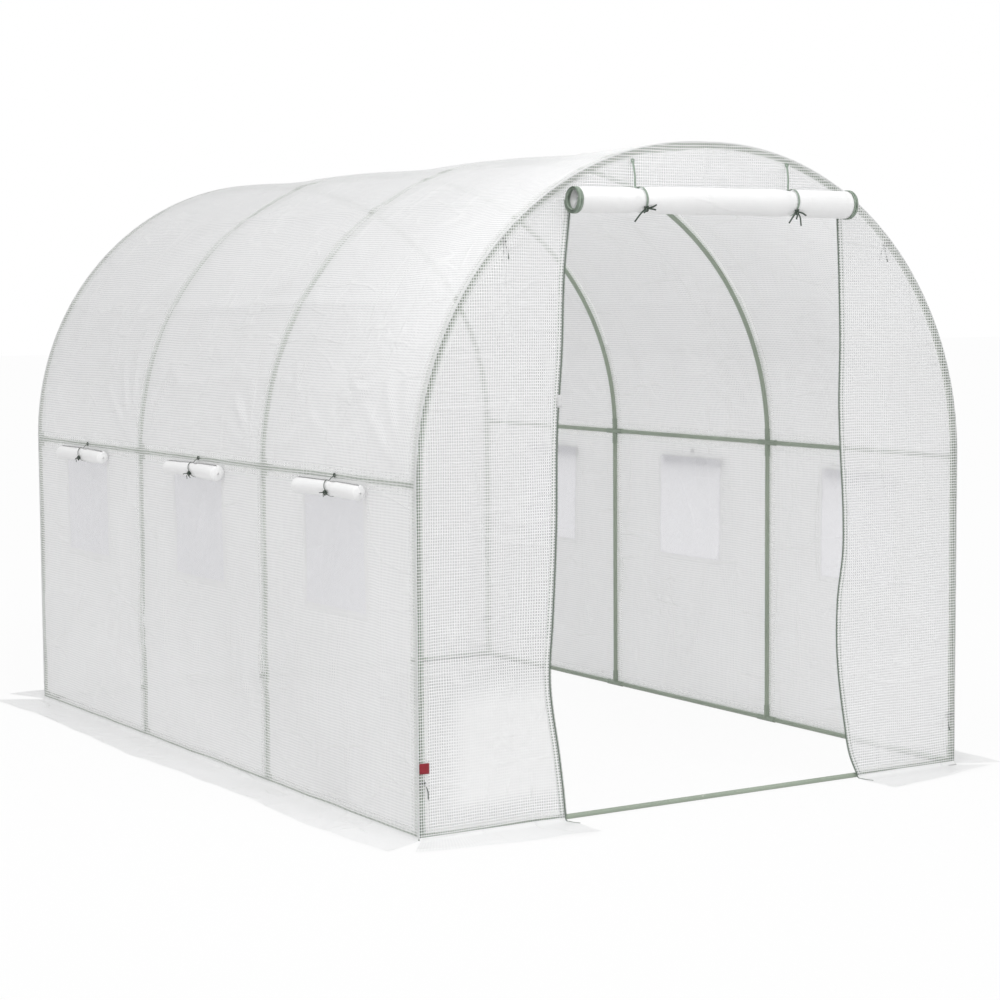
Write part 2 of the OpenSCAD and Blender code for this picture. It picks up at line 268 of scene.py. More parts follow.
def build_thread_grid():
    """1 on the threads, 0 on the film between them, on a square grid of the given pitch."""
    tree, start, end = new_group(
        "thread_grid",
        {"Vector": VECTOR, "Pitch": VECTOR, "Width": FLOAT, "Wander": FLOAT},
        {"Thread": FLOAT, "Height": FLOAT},
    )
    vector, pitch, width, wander = (start.outputs[i] for i in range(4))
    drift = noise_map(tree, vector, 3.0)["Color"]
    centred = vector_calc(tree, "SUBTRACT", drift, (0.5, 0.5, 0.5))
    moved = vector_calc(tree, "SCALE", centred, Scale=wander)
    place = vector_calc(tree, "ADD", vector, moved)
    counted = split(tree, vector_calc(tree, "DIVIDE", place, pitch))
    film_edge = less(tree, 1.0, width)
    lines, rounds = [], []
    for axis in (0, 1):
        off_centre = times(tree, distance(tree, calc(tree, "FRACT", counted[axis]), 0.5), 2.0)
        inner, outer = less(tree, film_edge, 0.05), calc(tree, "ADD", film_edge, 0.05)
        lines.append(ramp(tree, off_centre, inner, outer))
        rounds.append(calc(tree, "POWER", off_centre, 3.0))
    tree.links.new(calc(tree, "MAXIMUM", *lines), end.inputs["Thread"])
    tree.links.new(calc(tree, "MAXIMUM", *rounds), end.inputs["Height"])
    return tree


def build_cloud():
    """A shade that drifts gently about 1, as the milkiness of a film does."""
    tree, start, end = new_group(
        "cloud", {"Vector": VECTOR, "Scale": FLOAT, "Amount": FLOAT}, {"Shade": FLOAT, "Mask": FLOAT}
    )
    vector, scale, amount = (start.outputs[i] for i in range(3))
    soft = noise_map(tree, vector, scale, 4.0, Roughness=0.55)["Fac"]
    shade = calc(tree, "MULTIPLY_ADD", less(tree, soft, 0.5), amount, 1.0)
    tree.links.new(shade, end.inputs["Shade"])
    tree.links.new(soft, end.inputs["Mask"])
    return tree


def build_crumple():
    """Sharp little folds in patches, as film keeps from being packed flat in a box."""
    tree, start, end = new_group(
        "crumple", {"Vector": VECTOR, "Scale": FLOAT}, {"Height": FLOAT, "Line": FLOAT}
    )
    vector, scale = start.outputs[0], start.outputs[1]
    warp = noise_map(tree, vector, scale, 3.0)
    bent = vector_calc(tree, "MULTIPLY_ADD", warp["Color"], (0.22, 0.22, 0.0), vector)
    facets = add_node(
        tree, "ShaderNodeTexVoronoi", {"Vector": bent, "Scale": scale}, feature="DISTANCE_TO_EDGE"
    ).outputs["Distance"]
    ridge = ramp(tree, facets, 0.0, 0.16, 1.0, 0.0, "SMOOTHERSTEP")
    line = ramp(tree, facets, 0.0, 0.045, 1.0, 0.0)
    where = ramp(tree, noise_map(tree, vector, 2.3, 1.0)["Fac"], 0.5, 0.66)
    breaks = ramp(tree, warp["Fac"], 0.46, 0.56)
    tree.links.new(times(tree, ridge, where), end.inputs["Height"])
    tree.links.new(times(tree, times(tree, line, breaks), where), end.inputs["Line"])
    return tree


def build_wrinkle():
    """Long thin wrinkles that wander along one way of the cloth, in patches. Stretch sets how
    many there are each way, and Thin how wide they are."""
    tree, start, end = new_group(
        "wrinkle", {"Vector": VECTOR, "Stretch": VECTOR, "Thin": FLOAT}, {"Height": FLOAT}
    )
    vector, stretch, thin = (start.outputs[i] for i in range(3))
    stretched = vector_calc(tree, "MULTIPLY", vector, stretch)
    wander = noise_map(tree, stretched, 1.0, 2.5)["Fac"]
    line = ramp(tree, distance(tree, wander, 0.5), 0.0, thin, 1.0, 0.0)
    where = ramp(tree, noise_map(tree, stretched, 2.1, 0.0)["Fac"], 0.42, 0.60)
    tree.links.new(times(tree, line, where), end.inputs["Height"])
    return tree


def close_to(tree, reach, *distances):
    """1 within reach of the nearest thing, fading to 0 at one and a half times that."""
    nearest = distances[0]
    for other in distances[1:]:
        nearest = calc(tree, "MINIMUM", nearest, other)
    return ramp(tree, nearest, reach, times(tree, reach, 1.5), 1.0, 0.0)


def build_tunnel_tubes():
    """1 where the tunnel cover lies on a tube: the hoops, the rails and the ridge."""
    tree, start, end = new_group("tunnel_tubes", {"Vector": VECTOR, "Reach": FLOAT}, {"Mask": FLOAT})
    s, y, _ = split(tree, start.outputs["Vector"])
    to_hoop = calc(tree, "PINGPONG", less(tree, y, hoop_ys[0]), bay_l / 2)
    from_crown = calc(tree, "ABSOLUTE", s)
    to_rails = [distance(tree, from_crown, place) for place in (0.0, s_eaves, s_ground - base_z)]
    tree.links.new(close_to(tree, start.outputs["Reach"], to_hoop, *to_rails), end.inputs["Mask"])
    return tree


def build_end_tubes():
    """1 where an end sheet lies on a tube: its hoop and the bar along its foot."""
    tree, start, end = new_group("end_tubes", {"Vector": VECTOR, "Reach": FLOAT}, {"Mask": FLOAT})
    x, z, _ = split(tree, start.outputs["Vector"])
    aside = calc(tree, "MAXIMUM", less(tree, calc(tree, "ABSOLUTE", x), ridge_half), 0.0)
    above = calc(tree, "MAXIMUM", less(tree, z, wall_h), 0.0)
    squares = [calc(tree, "POWER", side, 2.0) for side in (aside, above)]
    to_hoop = distance(tree, calc(tree, "SQRT", calc(tree, "ADD", *squares)), hoop_r)
    to_bar = distance(tree, z, base_z)
    tree.links.new(close_to(tree, start.outputs["Reach"], to_hoop, to_bar), end.inputs["Mask"])
    return tree


def build_weave():
    """The over and under of a woven tape: a height, and a mask of the gaps."""
    tree, start, end = new_group("weave", {"Vector": VECTOR, "Pitch": FLOAT}, {"Height": FLOAT, "Gap": FLOAT})
    places = split(tree, start.outputs["Vector"])
    turns = [calc(tree, "DIVIDE", times(tree, places[i], math.tau), start.outputs["Pitch"]) for i in (0, 1)]
    crossing = times(tree, *(calc(tree, "SINE", turn) for turn in turns))
    height = calc(tree, "MULTIPLY_ADD", crossing, 0.5, 0.5)
    tree.links.new(height, end.inputs["Height"])
    tree.links.new(calc(tree, "POWER", less(tree, 1.0, height), 3.0), end.inputs["Gap"])
    return tree


GROUPS = {
    "thread_grid": build_thread_grid(),
    "cloud": build_cloud(),
    "crumple": build_crumple(),
    "wrinkle": build_wrinkle(),
    "tunnel_tubes": build_tunnel_tubes(),
    "end_tubes": build_end_tubes(),
    "weave": build_weave(),
}
print("node groups:", ", ".join(GROUPS))


# %% Helpers for finishes
def use_group(tree, name, **inputs):
    """A group node, with its inputs set or linked."""
    return add_node(tree, "ShaderNodeGroup", inputs, node_tree=GROUPS[name]).outputs


def new_finish(name):
    """An empty material: (material, its node tree)."""
    finish = bpy.data.materials.new(name)
    finish.use_nodes = True
    finish.node_tree.nodes.clear()
    return finish, finish.node_tree


def on_cloth(tree):
    """The cloth's own UV map, which is in metres."""
    return add_node(tree, "ShaderNodeTexCoord").outputs["UV"]


def plain_skin(tree, colour, roughness, normal, more):
    """A Principled shader with these inputs."""
    inputs = {"Base Color": colour, "Roughness": roughness, "Normal": normal, **more}
    return add_node(tree, "ShaderNodeBsdfPrincipled", inputs).outputs[0]


def mixed_shaders(tree, share, a, b):
    """Shader a where share is 0, b where it is 1."""
    return add_node(tree, "ShaderNodeMixShader", {0: share, 1: a, 2: b}).outputs[0]


def bumps(tree, *layers):
    """A normal from (height socket, distance in metres) layers."""
    normal = None
    for height, distance in layers:
        inputs = {"Height": height, "Distance": distance, "Strength": 1.0}
        if normal is not None:
            inputs["Normal"] = normal
        normal = add_node(tree, "ShaderNodeBump", inputs).outputs[0]
    return normal


def shaded(tree, colour, shade):
    """A colour multiplied by a shade that changes over the surface."""
    return vector_calc(tree, "SCALE", colour, Scale=shade)


# %% [markdown]
# ## The film finishes
# The milky part of the film is a mix of a plain glossy plastic and a translucent one, so that
# light from outside glows through to the inside. The film between the threads is mixed with a
# transparent shader, and where the film lies on a tube its cells are clearer and tinted darker,
# a painted shade on the tube seen through them, which gives the rows of dots. The window net,
# the hems, the skirts and the rolled flaps are the same recipe with other amounts.


# %% Film finishes
# How far from a tube the painted contact shade reaches.
CONTACT_SHADE_REACH = 9 * MM


def film(
    name, colours, clear, through, roughness=0.42, pitch=None, width=0.42, wander=12 * MM,
    crumples=1.4 * MM, veil=None, touch=None, contact_shade=(1, 1, 1), painted_shade=None,
):
    """A translucent sheet on a grid of threads. colours and through are (film, threads): through
    is how much of the light goes on. clear is how transparent the film is, and (film, on a tube)
    where touch says it lies on a tube. veil makes it milky and hides the grid. The tint of the
    film's clear cells right on a tube is a painted shade that darkens the tube seen through them,
    and a painted shade over the surface can darken the sheet's colour."""
    finish, tree = new_finish(name)
    uv = on_cloth(tree)
    thread = use_group(
        tree, "thread_grid", Vector=uv, Pitch=pitch or THREAD_PITCH, Width=width, Wander=wander
    )
    cloud = use_group(tree, "cloud", Vector=uv, Scale=2.6, Amount=0.08)
    fine = use_group(tree, "cloud", Vector=uv, Scale=38.0, Amount=0.05)
    crumple = use_group(tree, "crumple", Vector=uv, Scale=7.0)
    upright = use_group(tree, "wrinkle", Vector=uv, Stretch=(1.1, 6.5, 1.0), Thin=0.022)
    level = use_group(tree, "wrinkle", Vector=uv, Stretch=(5.5, 1.6, 1.0), Thin=0.018)
    wrinkles = calc(tree, "MAXIMUM", upright["Height"], level["Height"])
    # Partly a painted highlight: crease lines are whitened in the film's colour, partly as folded film
    # whitens with stress and partly as a highlight on the folds.
    fold_white_and_highlight = times(tree, calc(tree, "MAXIMUM", wrinkles, crumple["Line"]), FOLD_WHITE_AND_HIGHLIGHT)
    milky_share = calc(tree, "MAXIMUM", thread["Thread"], fold_white_and_highlight)
    if veil is not None:
        unveiled = less(tree, 1.0, veil(tree, uv))
        milky_share = less(tree, 1.0, times(tree, less(tree, 1.0, milky_share), unveiled))
    base = blend_colours(tree, milky_share, (*colours[0], 1), (*colours[1], 1))
    tint = shaded(tree, shaded(tree, base, cloud["Shade"]), fine["Shade"])
    # Painted shade: the sheet's colour is darkened where the shade function says.
    if painted_shade is not None:
        tint = shaded(tree, tint, painted_shade(tree, uv))
    folds = [(layer["Height"], crumples) for layer in (crumple, upright, level)]
    normal = bumps(tree, *folds, (thread["Height"], 0.25 * MM))
    gloss = calc(tree, "MULTIPLY_ADD", cloud["Mask"], 0.16, roughness - 0.08)
    plastic = plain_skin(tree, tint, gloss, normal, {"Specular IOR Level": 0.45})
    glow = add_node(tree, "ShaderNodeBsdfTranslucent", {"Color": tint, "Normal": normal}).outputs[0]
    share = ramp(tree, milky_share, 0.0, 1.0, *through, "LINEAR")
    skin = mixed_shaders(tree, share, plastic, glow)
    if clear is not None:
        hole = times(tree, less(tree, 1.0, milky_share), clear[0])
        gaps = add_node(tree, "ShaderNodeBsdfTransparent")
        if touch is not None:
            on_tube = times(tree, less(tree, 1.0, thread["Thread"]), clear[1])
            hole = blend_values(tree, touch(tree, uv), hole, on_tube)
            # Painted shade: the clear cells on a tube are tinted darker, so the tube seen through them looks
            # shaded.
            painted_contact_shade = blend_colours(tree, touch(tree, uv, CONTACT_SHADE_REACH), (1, 1, 1, 1), (*contact_shade, 1))
            tree.links.new(painted_contact_shade, gaps.inputs["Color"])
        skin = mixed_shaders(tree, hole, skin, gaps.outputs[0])
    add_node(tree, "ShaderNodeOutputMaterial", {0: skin})
    return finish


# %% [markdown]
# The film isn't the same everywhere. The walls are milkier than the roof, the foot of the front
# left panel is milkiest of all, and the roof has a little painted shade behind its front end.
# Each of these is a smooth step along the flat cloth: s or x across and y or z along, in metres.


# %% Where the film is milky, greyer or tight
def tunnel_veil(tree, uv):
    """The walls are milkier than the roof."""
    from_crown = calc(tree, "ABSOLUTE", split(tree, uv)[0])
    return ramp(tree, from_crown, s_eaves - 0.7, s_eaves + 0.5, 0.05, 0.5)


def roof_painted_shade(tree, uv):
    """Painted shade: the roof's colour is a little darker than the walls', apart from its front end."""
    s, y, _ = split(tree, uv)
    on_roof = ramp(tree, calc(tree, "ABSOLUTE", s), s_eaves - 0.5, s_eaves, 1.0, 0.0)
    behind_front = ramp(tree, y, hoop_ys[0], hoop_ys[0] + 0.7, 0.0, 0.10)
    return less(tree, 1.0, times(tree, on_roof, behind_front))


def end_veil(tree, uv):
    """The foot of the front left panel is milky: the grid fades out there."""
    x, z, _ = split(tree, uv)
    low = ramp(tree, z, 0.36, 0.52, 0.92, 0.0)
    above_bar = ramp(tree, z, 0.05, 0.12, 0.1, 1.0)
    beside_leg = ramp(tree, x, -0.98, -0.86, 0.35, 1.0)
    beside_door = ramp(tree, x, -0.60, -0.50, 1.0, 0.35)
    return times(tree, times(tree, low, above_bar), times(tree, beside_leg, beside_door))


def tunnel_touch(tree, uv, reach=23 * MM):
    """Where the tunnel cover lies on a tube."""
    return use_group(tree, "tunnel_tubes", Vector=uv, Reach=reach)["Mask"]


def end_touch(tree, uv, reach=20 * MM):
    """Where an end sheet lies on a tube: tight on the legs, more loosely on top of the arch."""
    # The same mask places the painted contact shade, so it is fainter on top of the arch.
    tight = ramp(tree, split(tree, uv)[1], 1.35, 1.80, 1.0, 0.35)
    return times(tree, use_group(tree, "end_tubes", Vector=uv, Reach=reach)["Mask"], tight)


# %% The film finishes
THREAD_PITCH = (9.0 * MM, 8.0 * MM, 1.0)
END_PITCH = (8.0 * MM, 8.9 * MM, 1.0)
NET_PITCH = (1.6 * MM, 1.6 * MM, 1.0)
HEM_PITCH = (9.5 * MM, 8.9 * MM, 1.0)
WHITE = (0.95, 0.95, 0.95)
# How white the crease lines are: partly stress whitening of folded film, partly a painted highlight.
FOLD_WHITE_AND_HIGHLIGHT = 0.45
# The cover film has painted shade on the roof behind its front end, and painted contact shade on its tubes.
cover_finish = film(
    "cover_film", ((0.85, 0.855, 0.87), WHITE), clear=(0.22, 0.85), through=(0.62, 0.33), width=0.40,
    veil=tunnel_veil, touch=tunnel_touch, contact_shade=(0.75, 0.79, 0.75), painted_shade=roof_painted_shade,
)
# Painted shade: the end film's colour is darker than the cover film's, which darkens the end sheets and the
# cells between their threads.
end_finish = film(
    "end_film", ((0.72, 0.725, 0.745), WHITE), clear=(0.60, 1.0), through=(0.62, 0.33), pitch=END_PITCH,
    width=0.37, veil=end_veil, touch=end_touch, contact_shade=(0.55, 0.60, 0.55),
)
skirt_finish = film(
    "skirt_film", ((0.88, 0.885, 0.89), (0.94, 0.94, 0.94)), clear=None, through=(0.15, 0.15),
    crumples=2.0 * MM, roughness=0.45,
)
hem_finish = film(
    "hem_film", ((0.88, 0.88, 0.89), (0.92, 0.92, 0.92)), clear=None, through=(0.45, 0.4), wander=4 * MM,
    crumples=0.6 * MM, roughness=0.45,
)
rolled_finish = film(
    "rolled_film", ((0.96, 0.96, 0.965), (0.98, 0.98, 0.98)), clear=None, through=(0.16, 0.12),
    wander=4 * MM, crumples=0.9 * MM, roughness=0.4,
)
dotted_finish = film(
    "dotted_hem", ((0.30, 0.35, 0.31), WHITE), clear=None, through=(0.05, 0.2), pitch=HEM_PITCH,
    width=0.50, wander=1 * MM, crumples=0.3 * MM,
)
net_finish = film(
    "window_net", ((0.93, 0.928, 0.955), (0.965, 0.962, 0.985)), clear=(0.27, 0.27), through=(0.62, 0.52),
    pitch=NET_PITCH, width=0.5, wander=1 * MM, crumples=0.8 * MM, roughness=0.55,
)
print("film finishes made")

# %% [markdown]
# ## Paint, tape and tag
# The tubes are steel with a sage-green powder coat: a satin paint with a faint orange peel and
# small rubbed spots. The zips, ties and the corner tag are woven, so they share the weave group.


# %% Paint and woven finishes
def paint(name, colour, rubbed):
    """Powder coat on steel, with a soft mottle, an orange peel bump and rubbed spots."""
    finish, tree = new_finish(name)
    place = add_node(tree, "ShaderNodeTexCoord").outputs["Object"]
    cloud = use_group(tree, "cloud", Vector=place, Scale=5.0, Amount=0.30)
    peel = use_group(tree, "cloud", Vector=place, Scale=420.0, Amount=0.12)
    spots = use_group(tree, "cloud", Vector=place, Scale=34.0, Amount=0.0)
    worn = ramp(tree, spots["Mask"], 0.66, 0.74, 0.0, 1.0, "LINEAR")
    coat = shaded(tree, shaded(tree, (*colour,), cloud["Shade"]), peel["Shade"])
    tint = blend_colours(tree, worn, coat, (*rubbed, 1))
    gloss = calc(tree, "MULTIPLY_ADD", cloud["Mask"], 0.2, 0.28)
    skin = plain_skin(tree, tint, gloss, bumps(tree, (peel["Mask"], 0.06 * MM)), {})
    add_node(tree, "ShaderNodeOutputMaterial", {0: skin})
    return finish


def woven(name, colour, gap_colour, pitch, roughness=0.75):
    """A woven tape."""
    finish, tree = new_finish(name)
    uv = on_cloth(tree)
    weave = use_group(tree, "weave", Vector=uv, Pitch=pitch)
    cloud = use_group(tree, "cloud", Vector=uv, Scale=60.0, Amount=0.5)
    tint = blend_colours(tree, weave["Gap"], shaded(tree, (*colour,), cloud["Shade"]), (*gap_colour, 1))
    normal = bumps(tree, (weave["Height"], 0.25 * MM))
    skin = plain_skin(tree, tint, roughness, normal, {"Sheen Weight": 0.25})
    add_node(tree, "ShaderNodeOutputMaterial", {0: skin})
    return finish


tube_finish = paint("sage_paint", (0.33, 0.385, 0.31), (0.46, 0.50, 0.43))
connector_finish = paint("connector_paint", (0.30, 0.355, 0.285), (0.42, 0.46, 0.40))
zip_finish = woven("zip_weave", (0.15, 0.195, 0.155), (0.06, 0.085, 0.065), 1.6 * MM)
spiral_finish = woven("spiral_weave", (0.34, 0.42, 0.34), (0.12, 0.16, 0.12), 1.6 * MM)
tie_finish = woven("tie_weave", (0.045, 0.07, 0.05), (0.012, 0.022, 0.014), 1.8 * MM)
strap_finish = woven("strap_weave", (0.30, 0.38, 0.31), (0.13, 0.17, 0.135), 1.8 * MM)
tag_finish = woven("tag_weave", (0.30, 0.006, 0.02), (0.15, 0.003, 0.008), 1.2 * MM)

TUBES = (
    "front_arch second_arch third_arch back_arch left_legs right_legs side_rails ridge_rail "
    "base_rails front_base_bar back_base_bar"
).split()
CONNECTORS = "corner_feet base_tees rail_end_tees rail_crosses ridge_end_tees ridge_crosses".split()
for names, finish in ((TUBES, tube_finish), (CONNECTORS, connector_finish)):
    for name in names:
        for slot in nodes[name].material_slots:
            slot.material = finish
print(len(TUBES), "tube nodes and", len(CONNECTORS), "connector nodes painted")

# %% [markdown]
# ## Making cloth
# A sheet starts as a flat grid, and each of its points is then moved to where that point of the
# cloth hangs. The grid's lines are spaced so that one falls on every edge that matters, such as
# a window's. The UV map is the flat cloth itself, in metres, so the threads stay square.

# %% Cloth helpers
CELL = 16 * MM


def spaced(marks, cell=CELL):
    """Positions about one cell apart that hit every mark."""
    lines = [marks[0]]
    for a, b in zip(marks, marks[1:]):
        steps = max(1, round(abs(b - a) / cell))
        lines += [a + (b - a) * i / steps for i in range(1, steps + 1)]
    return np.array(lines)


def columns_of(*values):
    """Arrays side by side: the points of x, y and z, or the UVs of s and t."""
    return np.stack(values, axis=1)


def side_of(s):
    return np.where(s < 0, -1.0, 1.0)


def unit(vectors):
    """The vectors made one metre long."""
    return vectors / np.linalg.norm(vectors, axis=1)[:, None]


def around(middle, half):
    """The two places half on either side of middle."""
    return middle - half, middle + half


def facing(*direction):
    """For outwards: the same direction everywhere."""
    return lambda point: Vector(direction)


def cloth(name, s_lines, t_lines, place, finish, holes=()):
    """A sheet whose flat cloth has lines at s_lines and t_lines. place(s, t) gives the points
    and, where they differ from s and t, the UVs. Faces inside a hole (s0, s1, t0, t1) go."""
    bpy.ops.object.select_all(action="DESELECT")
    columns, rows = len(s_lines) - 1, len(t_lines) - 1
    bpy.ops.mesh.primitive_grid_add(x_subdivisions=columns, y_subdivisions=rows, size=2, calc_uvs=True)
    piece = bpy.context.object
    piece.name = piece.data.name = name
    mesh = piece.data
    flat = np.empty(len(mesh.vertices) * 3)
    mesh.vertices.foreach_get("co", flat)
    flat = flat.reshape(-1, 3)
    s = s_lines[np.rint((flat[:, 0] + 1) / 2 * columns).astype(int)]
    t = t_lines[np.rint((flat[:, 1] + 1) / 2 * rows).astype(int)]
    placed = place(s, t)
    points, uvs = placed if isinstance(placed, tuple) else (placed, columns_of(s, t))
    mesh.vertices.foreach_set("co", points.ravel())
    corners = np.empty(len(mesh.loops), dtype=np.int32)
    mesh.loops.foreach_get("vertex_index", corners)
    mesh.uv_layers.active.data.foreach_set("uv", uvs[corners].ravel())
    if holes:
        cut_faces(mesh, s, t, holes)
    mesh.update()
    mesh.shade_smooth()
    mesh.materials.append(finish)
    return piece


def cut_faces(mesh, s, t, holes):
    """Deletes the faces whose middle is inside one of the holes of the flat cloth."""
    for face in mesh.polygons:
        ids = list(face.vertices)
        middle = s[ids].mean(), t[ids].mean()
        face.select = any(s0 < middle[0] < s1 and t0 < middle[1] < t1 for s0, s1, t0, t1 in holes)
    for edge in mesh.edges:
        edge.select = False
    for vertex in mesh.vertices:
        vertex.select = False
    for face in mesh.polygons:
        if face.select:
            for i in face.vertices:
                mesh.vertices[i].select = True
    bpy.ops.object.mode_set(mode="EDIT")
    bpy.ops.mesh.select_mode(type="FACE")
    bpy.ops.mesh.delete(type="FACE")
    bpy.ops.object.mode_set(mode="OBJECT")


def outwards(piece, direction):
    """Turns the sheet over if most of its faces look away from direction(point)."""
    faces = piece.data.polygons
    if sum(face.area * face.normal.dot(direction(face.center)) for face in faces) < 0:
        piece.data.flip_normals()


def thicken(piece, thickness, offset=0.0):
    """Gives a sheet its thickness with a Solidify modifier, applied."""
    solid = piece.modifiers.new("thickness", "SOLIDIFY")
    solid.thickness = thickness
    solid.offset = offset
    bpy.ops.object.select_all(action="DESELECT")
    piece.select_set(True)
    bpy.context.view_layer.objects.active = piece
    bpy.ops.object.modifier_apply(modifier=solid.name)


def adopt(piece, slot, *replaced):
    """The piece rides on the one body and stands for CAD nodes, which it hides. slot is not used."""
    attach(piece, "root")
    if replaced:
        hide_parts(*replaced)
    return piece


# %% [markdown]
# ## Folds
# Film that came folded in a box keeps long straight creases, and where it is pulled over a rail
# it makes short slanting ones. Each crease is a soft ridge along a line of the flat cloth, with
# its height fading to nothing at both ends. Slow waves come from a few sines, so the same cloth
# always hangs the same way.


# %% Fold helpers
def crease(s, t, start, end, height, width):
    """Height of a soft ridge that runs from start to end on the flat cloth."""
    run = (end[0] - start[0], end[1] - start[1])
    length = math.hypot(*run)
    along = ((s - start[0]) * run[0] + (t - start[1]) * run[1]) / length**2
    aside = ((s - start[0]) * run[1] - (t - start[1]) * run[0]) / length
    fade = np.clip(1 - (2 * along - 1) ** 2, 0, 1)
    return height * fade * np.exp(-((aside / width) ** 2))


def crumpled(s, t, middle, size, count, height, seed):
    """A patch of short creases in all directions about middle."""
    rng = np.random.default_rng(seed)
    total = np.zeros_like(s)
    for _ in range(count):
        at = np.array(middle) + rng.normal(0, 0.5, 2) * size
        angle = rng.uniform(0, math.pi)
        half = rng.uniform(0.04, 0.11) * np.array([math.cos(angle), math.sin(angle)])
        tall = height * rng.uniform(0.4, 1.0)
        total += crease(s, t, at - half, at + half, tall, rng.uniform(0.013, 0.020))
    return total


def waves(s, t, terms):
    """The sum of plane waves (height, turns per metre along s, along t, phase)."""
    return sum(a * np.sin(math.tau * (fs * s + ft * t + phase)) for a, fs, ft, phase in terms)


def between(value, low, high):
    """0 at low and high and outside, 1 midway, as a smooth hump."""
    share = np.clip((value - low) / (high - low), 0, 1)
    return np.sin(math.pi * share) ** 2


# %% [markdown]
# ## The tunnel cover
# One sheet runs from the ground up the left wall, over the hoops and down the right wall. A
# point of the cloth is s metres from the crown, measured along the section, and y metres along
# the tunnel. The walls have their window openings cut out, and the sheet sags a little between
# hoops.

# %% The section of the cover
FOLD_R = 12 * MM
s_fold = s_ground - FOLD_R


def s_at(z):
    """Distance from the crown along the cloth to a height on the wall."""
    return s_eaves + wall_h - z


def section(a):
    """x, z and the outward normal of the section at distance a >= 0 from the crown. Past the
    fold at the ground it is the skirt."""
    phi = np.clip((a - ridge_half) / roof_r, 0, math.pi / 2)
    theta = np.clip((a - s_fold) / FOLD_R, 0, math.pi / 2)
    fold_end = s_fold + FOLD_R * math.pi / 2
    on_ridge, on_roof, on_wall, on_fold = a < ridge_half, a < s_eaves, a < s_fold, a < fold_end
    where = [on_ridge, on_roof, on_wall, on_fold]
    x = np.select(
        where,
        [a, ridge_half + roof_r * np.sin(phi), half_w + 0 * a, half_w + FOLD_R * (1 - np.cos(theta))],
        half_w + FOLD_R + (a - fold_end),
    )
    z = np.select(
        where,
        [crown_z + 0 * a, wall_h + roof_r * np.cos(phi), s_ground - a, FOLD_R * (1 - np.sin(theta))],
        0.0,
    )
    nx = np.select(where, [0 * a, np.sin(phi), 1 + 0 * a, np.cos(theta)], 0.0)
    nz = np.select(where, [1 + 0 * a, np.cos(phi), 0 * a, np.sin(theta)], 1.0)
    return x, z, nx, nz


# In each bay: (along from its middle, height of the top, height of the crease in mm) on the wall,
# (down the wall from the eaves, along, mm) from the rail, and crumpled patches as (distance from
# the crown, along from the bay's middle, size, count, mm). On the roof: (from the crown, from, to).
WALL_CREASES = ((-0.30, 0.95, 6.0), (0.27, 0.90, 4.5), (0.36, 0.55, 4.0), (-0.07, 0.5, 4.2))
EAVES_CREASES = ((0.34, 0.20, 7.0), (0.25, 0.33, 5.5), (0.15, 0.22, 5.0), (0.42, 0.08, 4.6))
ROOF_CREASES = ((0.62, -1.45, 1.45), (1.05, -1.3, 0.9), (0.35, -0.4, 1.45))
CRUMPLES = (
    (s_at(0.42), 0.1, (0.14, 0.8), 22, 6), (s_at(0.25), -0.22, (0.26, 0.36), 10, 4),
    (s_eaves - 0.28, 0.1, (0.3, 0.5), 16, 5), (s_eaves - 0.95, 0.0, (0.5, 0.6), 12, 4),
)


def tunnel_swell(s, y):
    """How far the cover stands out from its section: sag, folds, creases and crumples."""
    a = abs(s)
    low = s_at(0)
    swell = np.zeros_like(s)
    for low_y, high_y in zip(hoop_ys, hoop_ys[1:]):
        bay = between(y, low_y + 0.02, high_y - 0.02)
        swell += bay * (-9 * MM * between(a, ridge_half, s_eaves) - 6 * MM * between(a, s_eaves, low))
        swell += bay * -10 * MM * np.exp(-((a / 0.32) ** 2))
    on_wall = between(a, s_eaves + 0.02, low - 0.03) ** 0.5
    on_roof = between(a, 0.05, s_eaves - 0.02) ** 0.5
    soft = waves(s, y, ((2.0 * MM, 0.9, 2.3, 0.1), (1.4 * MM, 2.1, 1.1, 0.4), (0.9 * MM, 3.7, 4.9, 0.7)))
    swell += soft * np.maximum(on_wall, on_roof)
    for side in SIDES:
        here = side * s > 0
        for number, bay_y in enumerate(bay_ys):
            flip = side * (1 if number % 2 else -1)
            for offset, top, tall in WALL_CREASES:
                at = bay_y + flip * offset
                swell += here * crease(a, y, (s_at(0.06), at), (s_at(top), at + 0.02), tall * MM, 20 * MM)
            for rise, reach, tall in EAVES_CREASES:
                foot = bay_y - flip * (bay_l / 2 - 0.05)
                tip = (s_eaves - rise, foot + flip * reach)
                swell += here * crease(a, y, (s_eaves - 0.03, foot), tip, tall * MM, 18 * MM)
                foot = bay_y + flip * (bay_l / 2 - 0.06)
                tip = (s_eaves - rise * 0.7, foot - flip * reach)
                swell += here * crease(a, y, (s_eaves - 0.05, foot), tip, tall * 0.8 * MM, 17 * MM)
            seed = 10 * number + (5 if side > 0 else 0)
            for i, (at, ahead, size, count, tall) in enumerate(CRUMPLES):
                swell += here * crumpled(a, y, (at, bay_y + ahead), size, count, tall * MM, seed + i)
        for from_crown, start, end in ROOF_CREASES:
            swell += here * crease(a, y, (from_crown, start), (from_crown + 0.05, end), 5 * MM, 18 * MM)
    for hoop in hoop_ys:
        swell += 1.0 * MM * np.exp(-(((y - hoop) / 0.03) ** 2)) * between(a, -0.1, s_eaves + 0.1)
    held = np.clip((half_l - abs(y)) / 0.05, 0, 1)
    return swell * held * np.clip((low - a) / 0.06, 0, 1)


def tunnel_point(s, y, lift=0.0):
    """Points of the cover, lifted off it by lift."""
    x, z, nx, nz = section(abs(s))
    out = tunnel_swell(s, y) + lift
    side = side_of(s)
    return columns_of(side * (x + nx * out), y, z + nz * out)


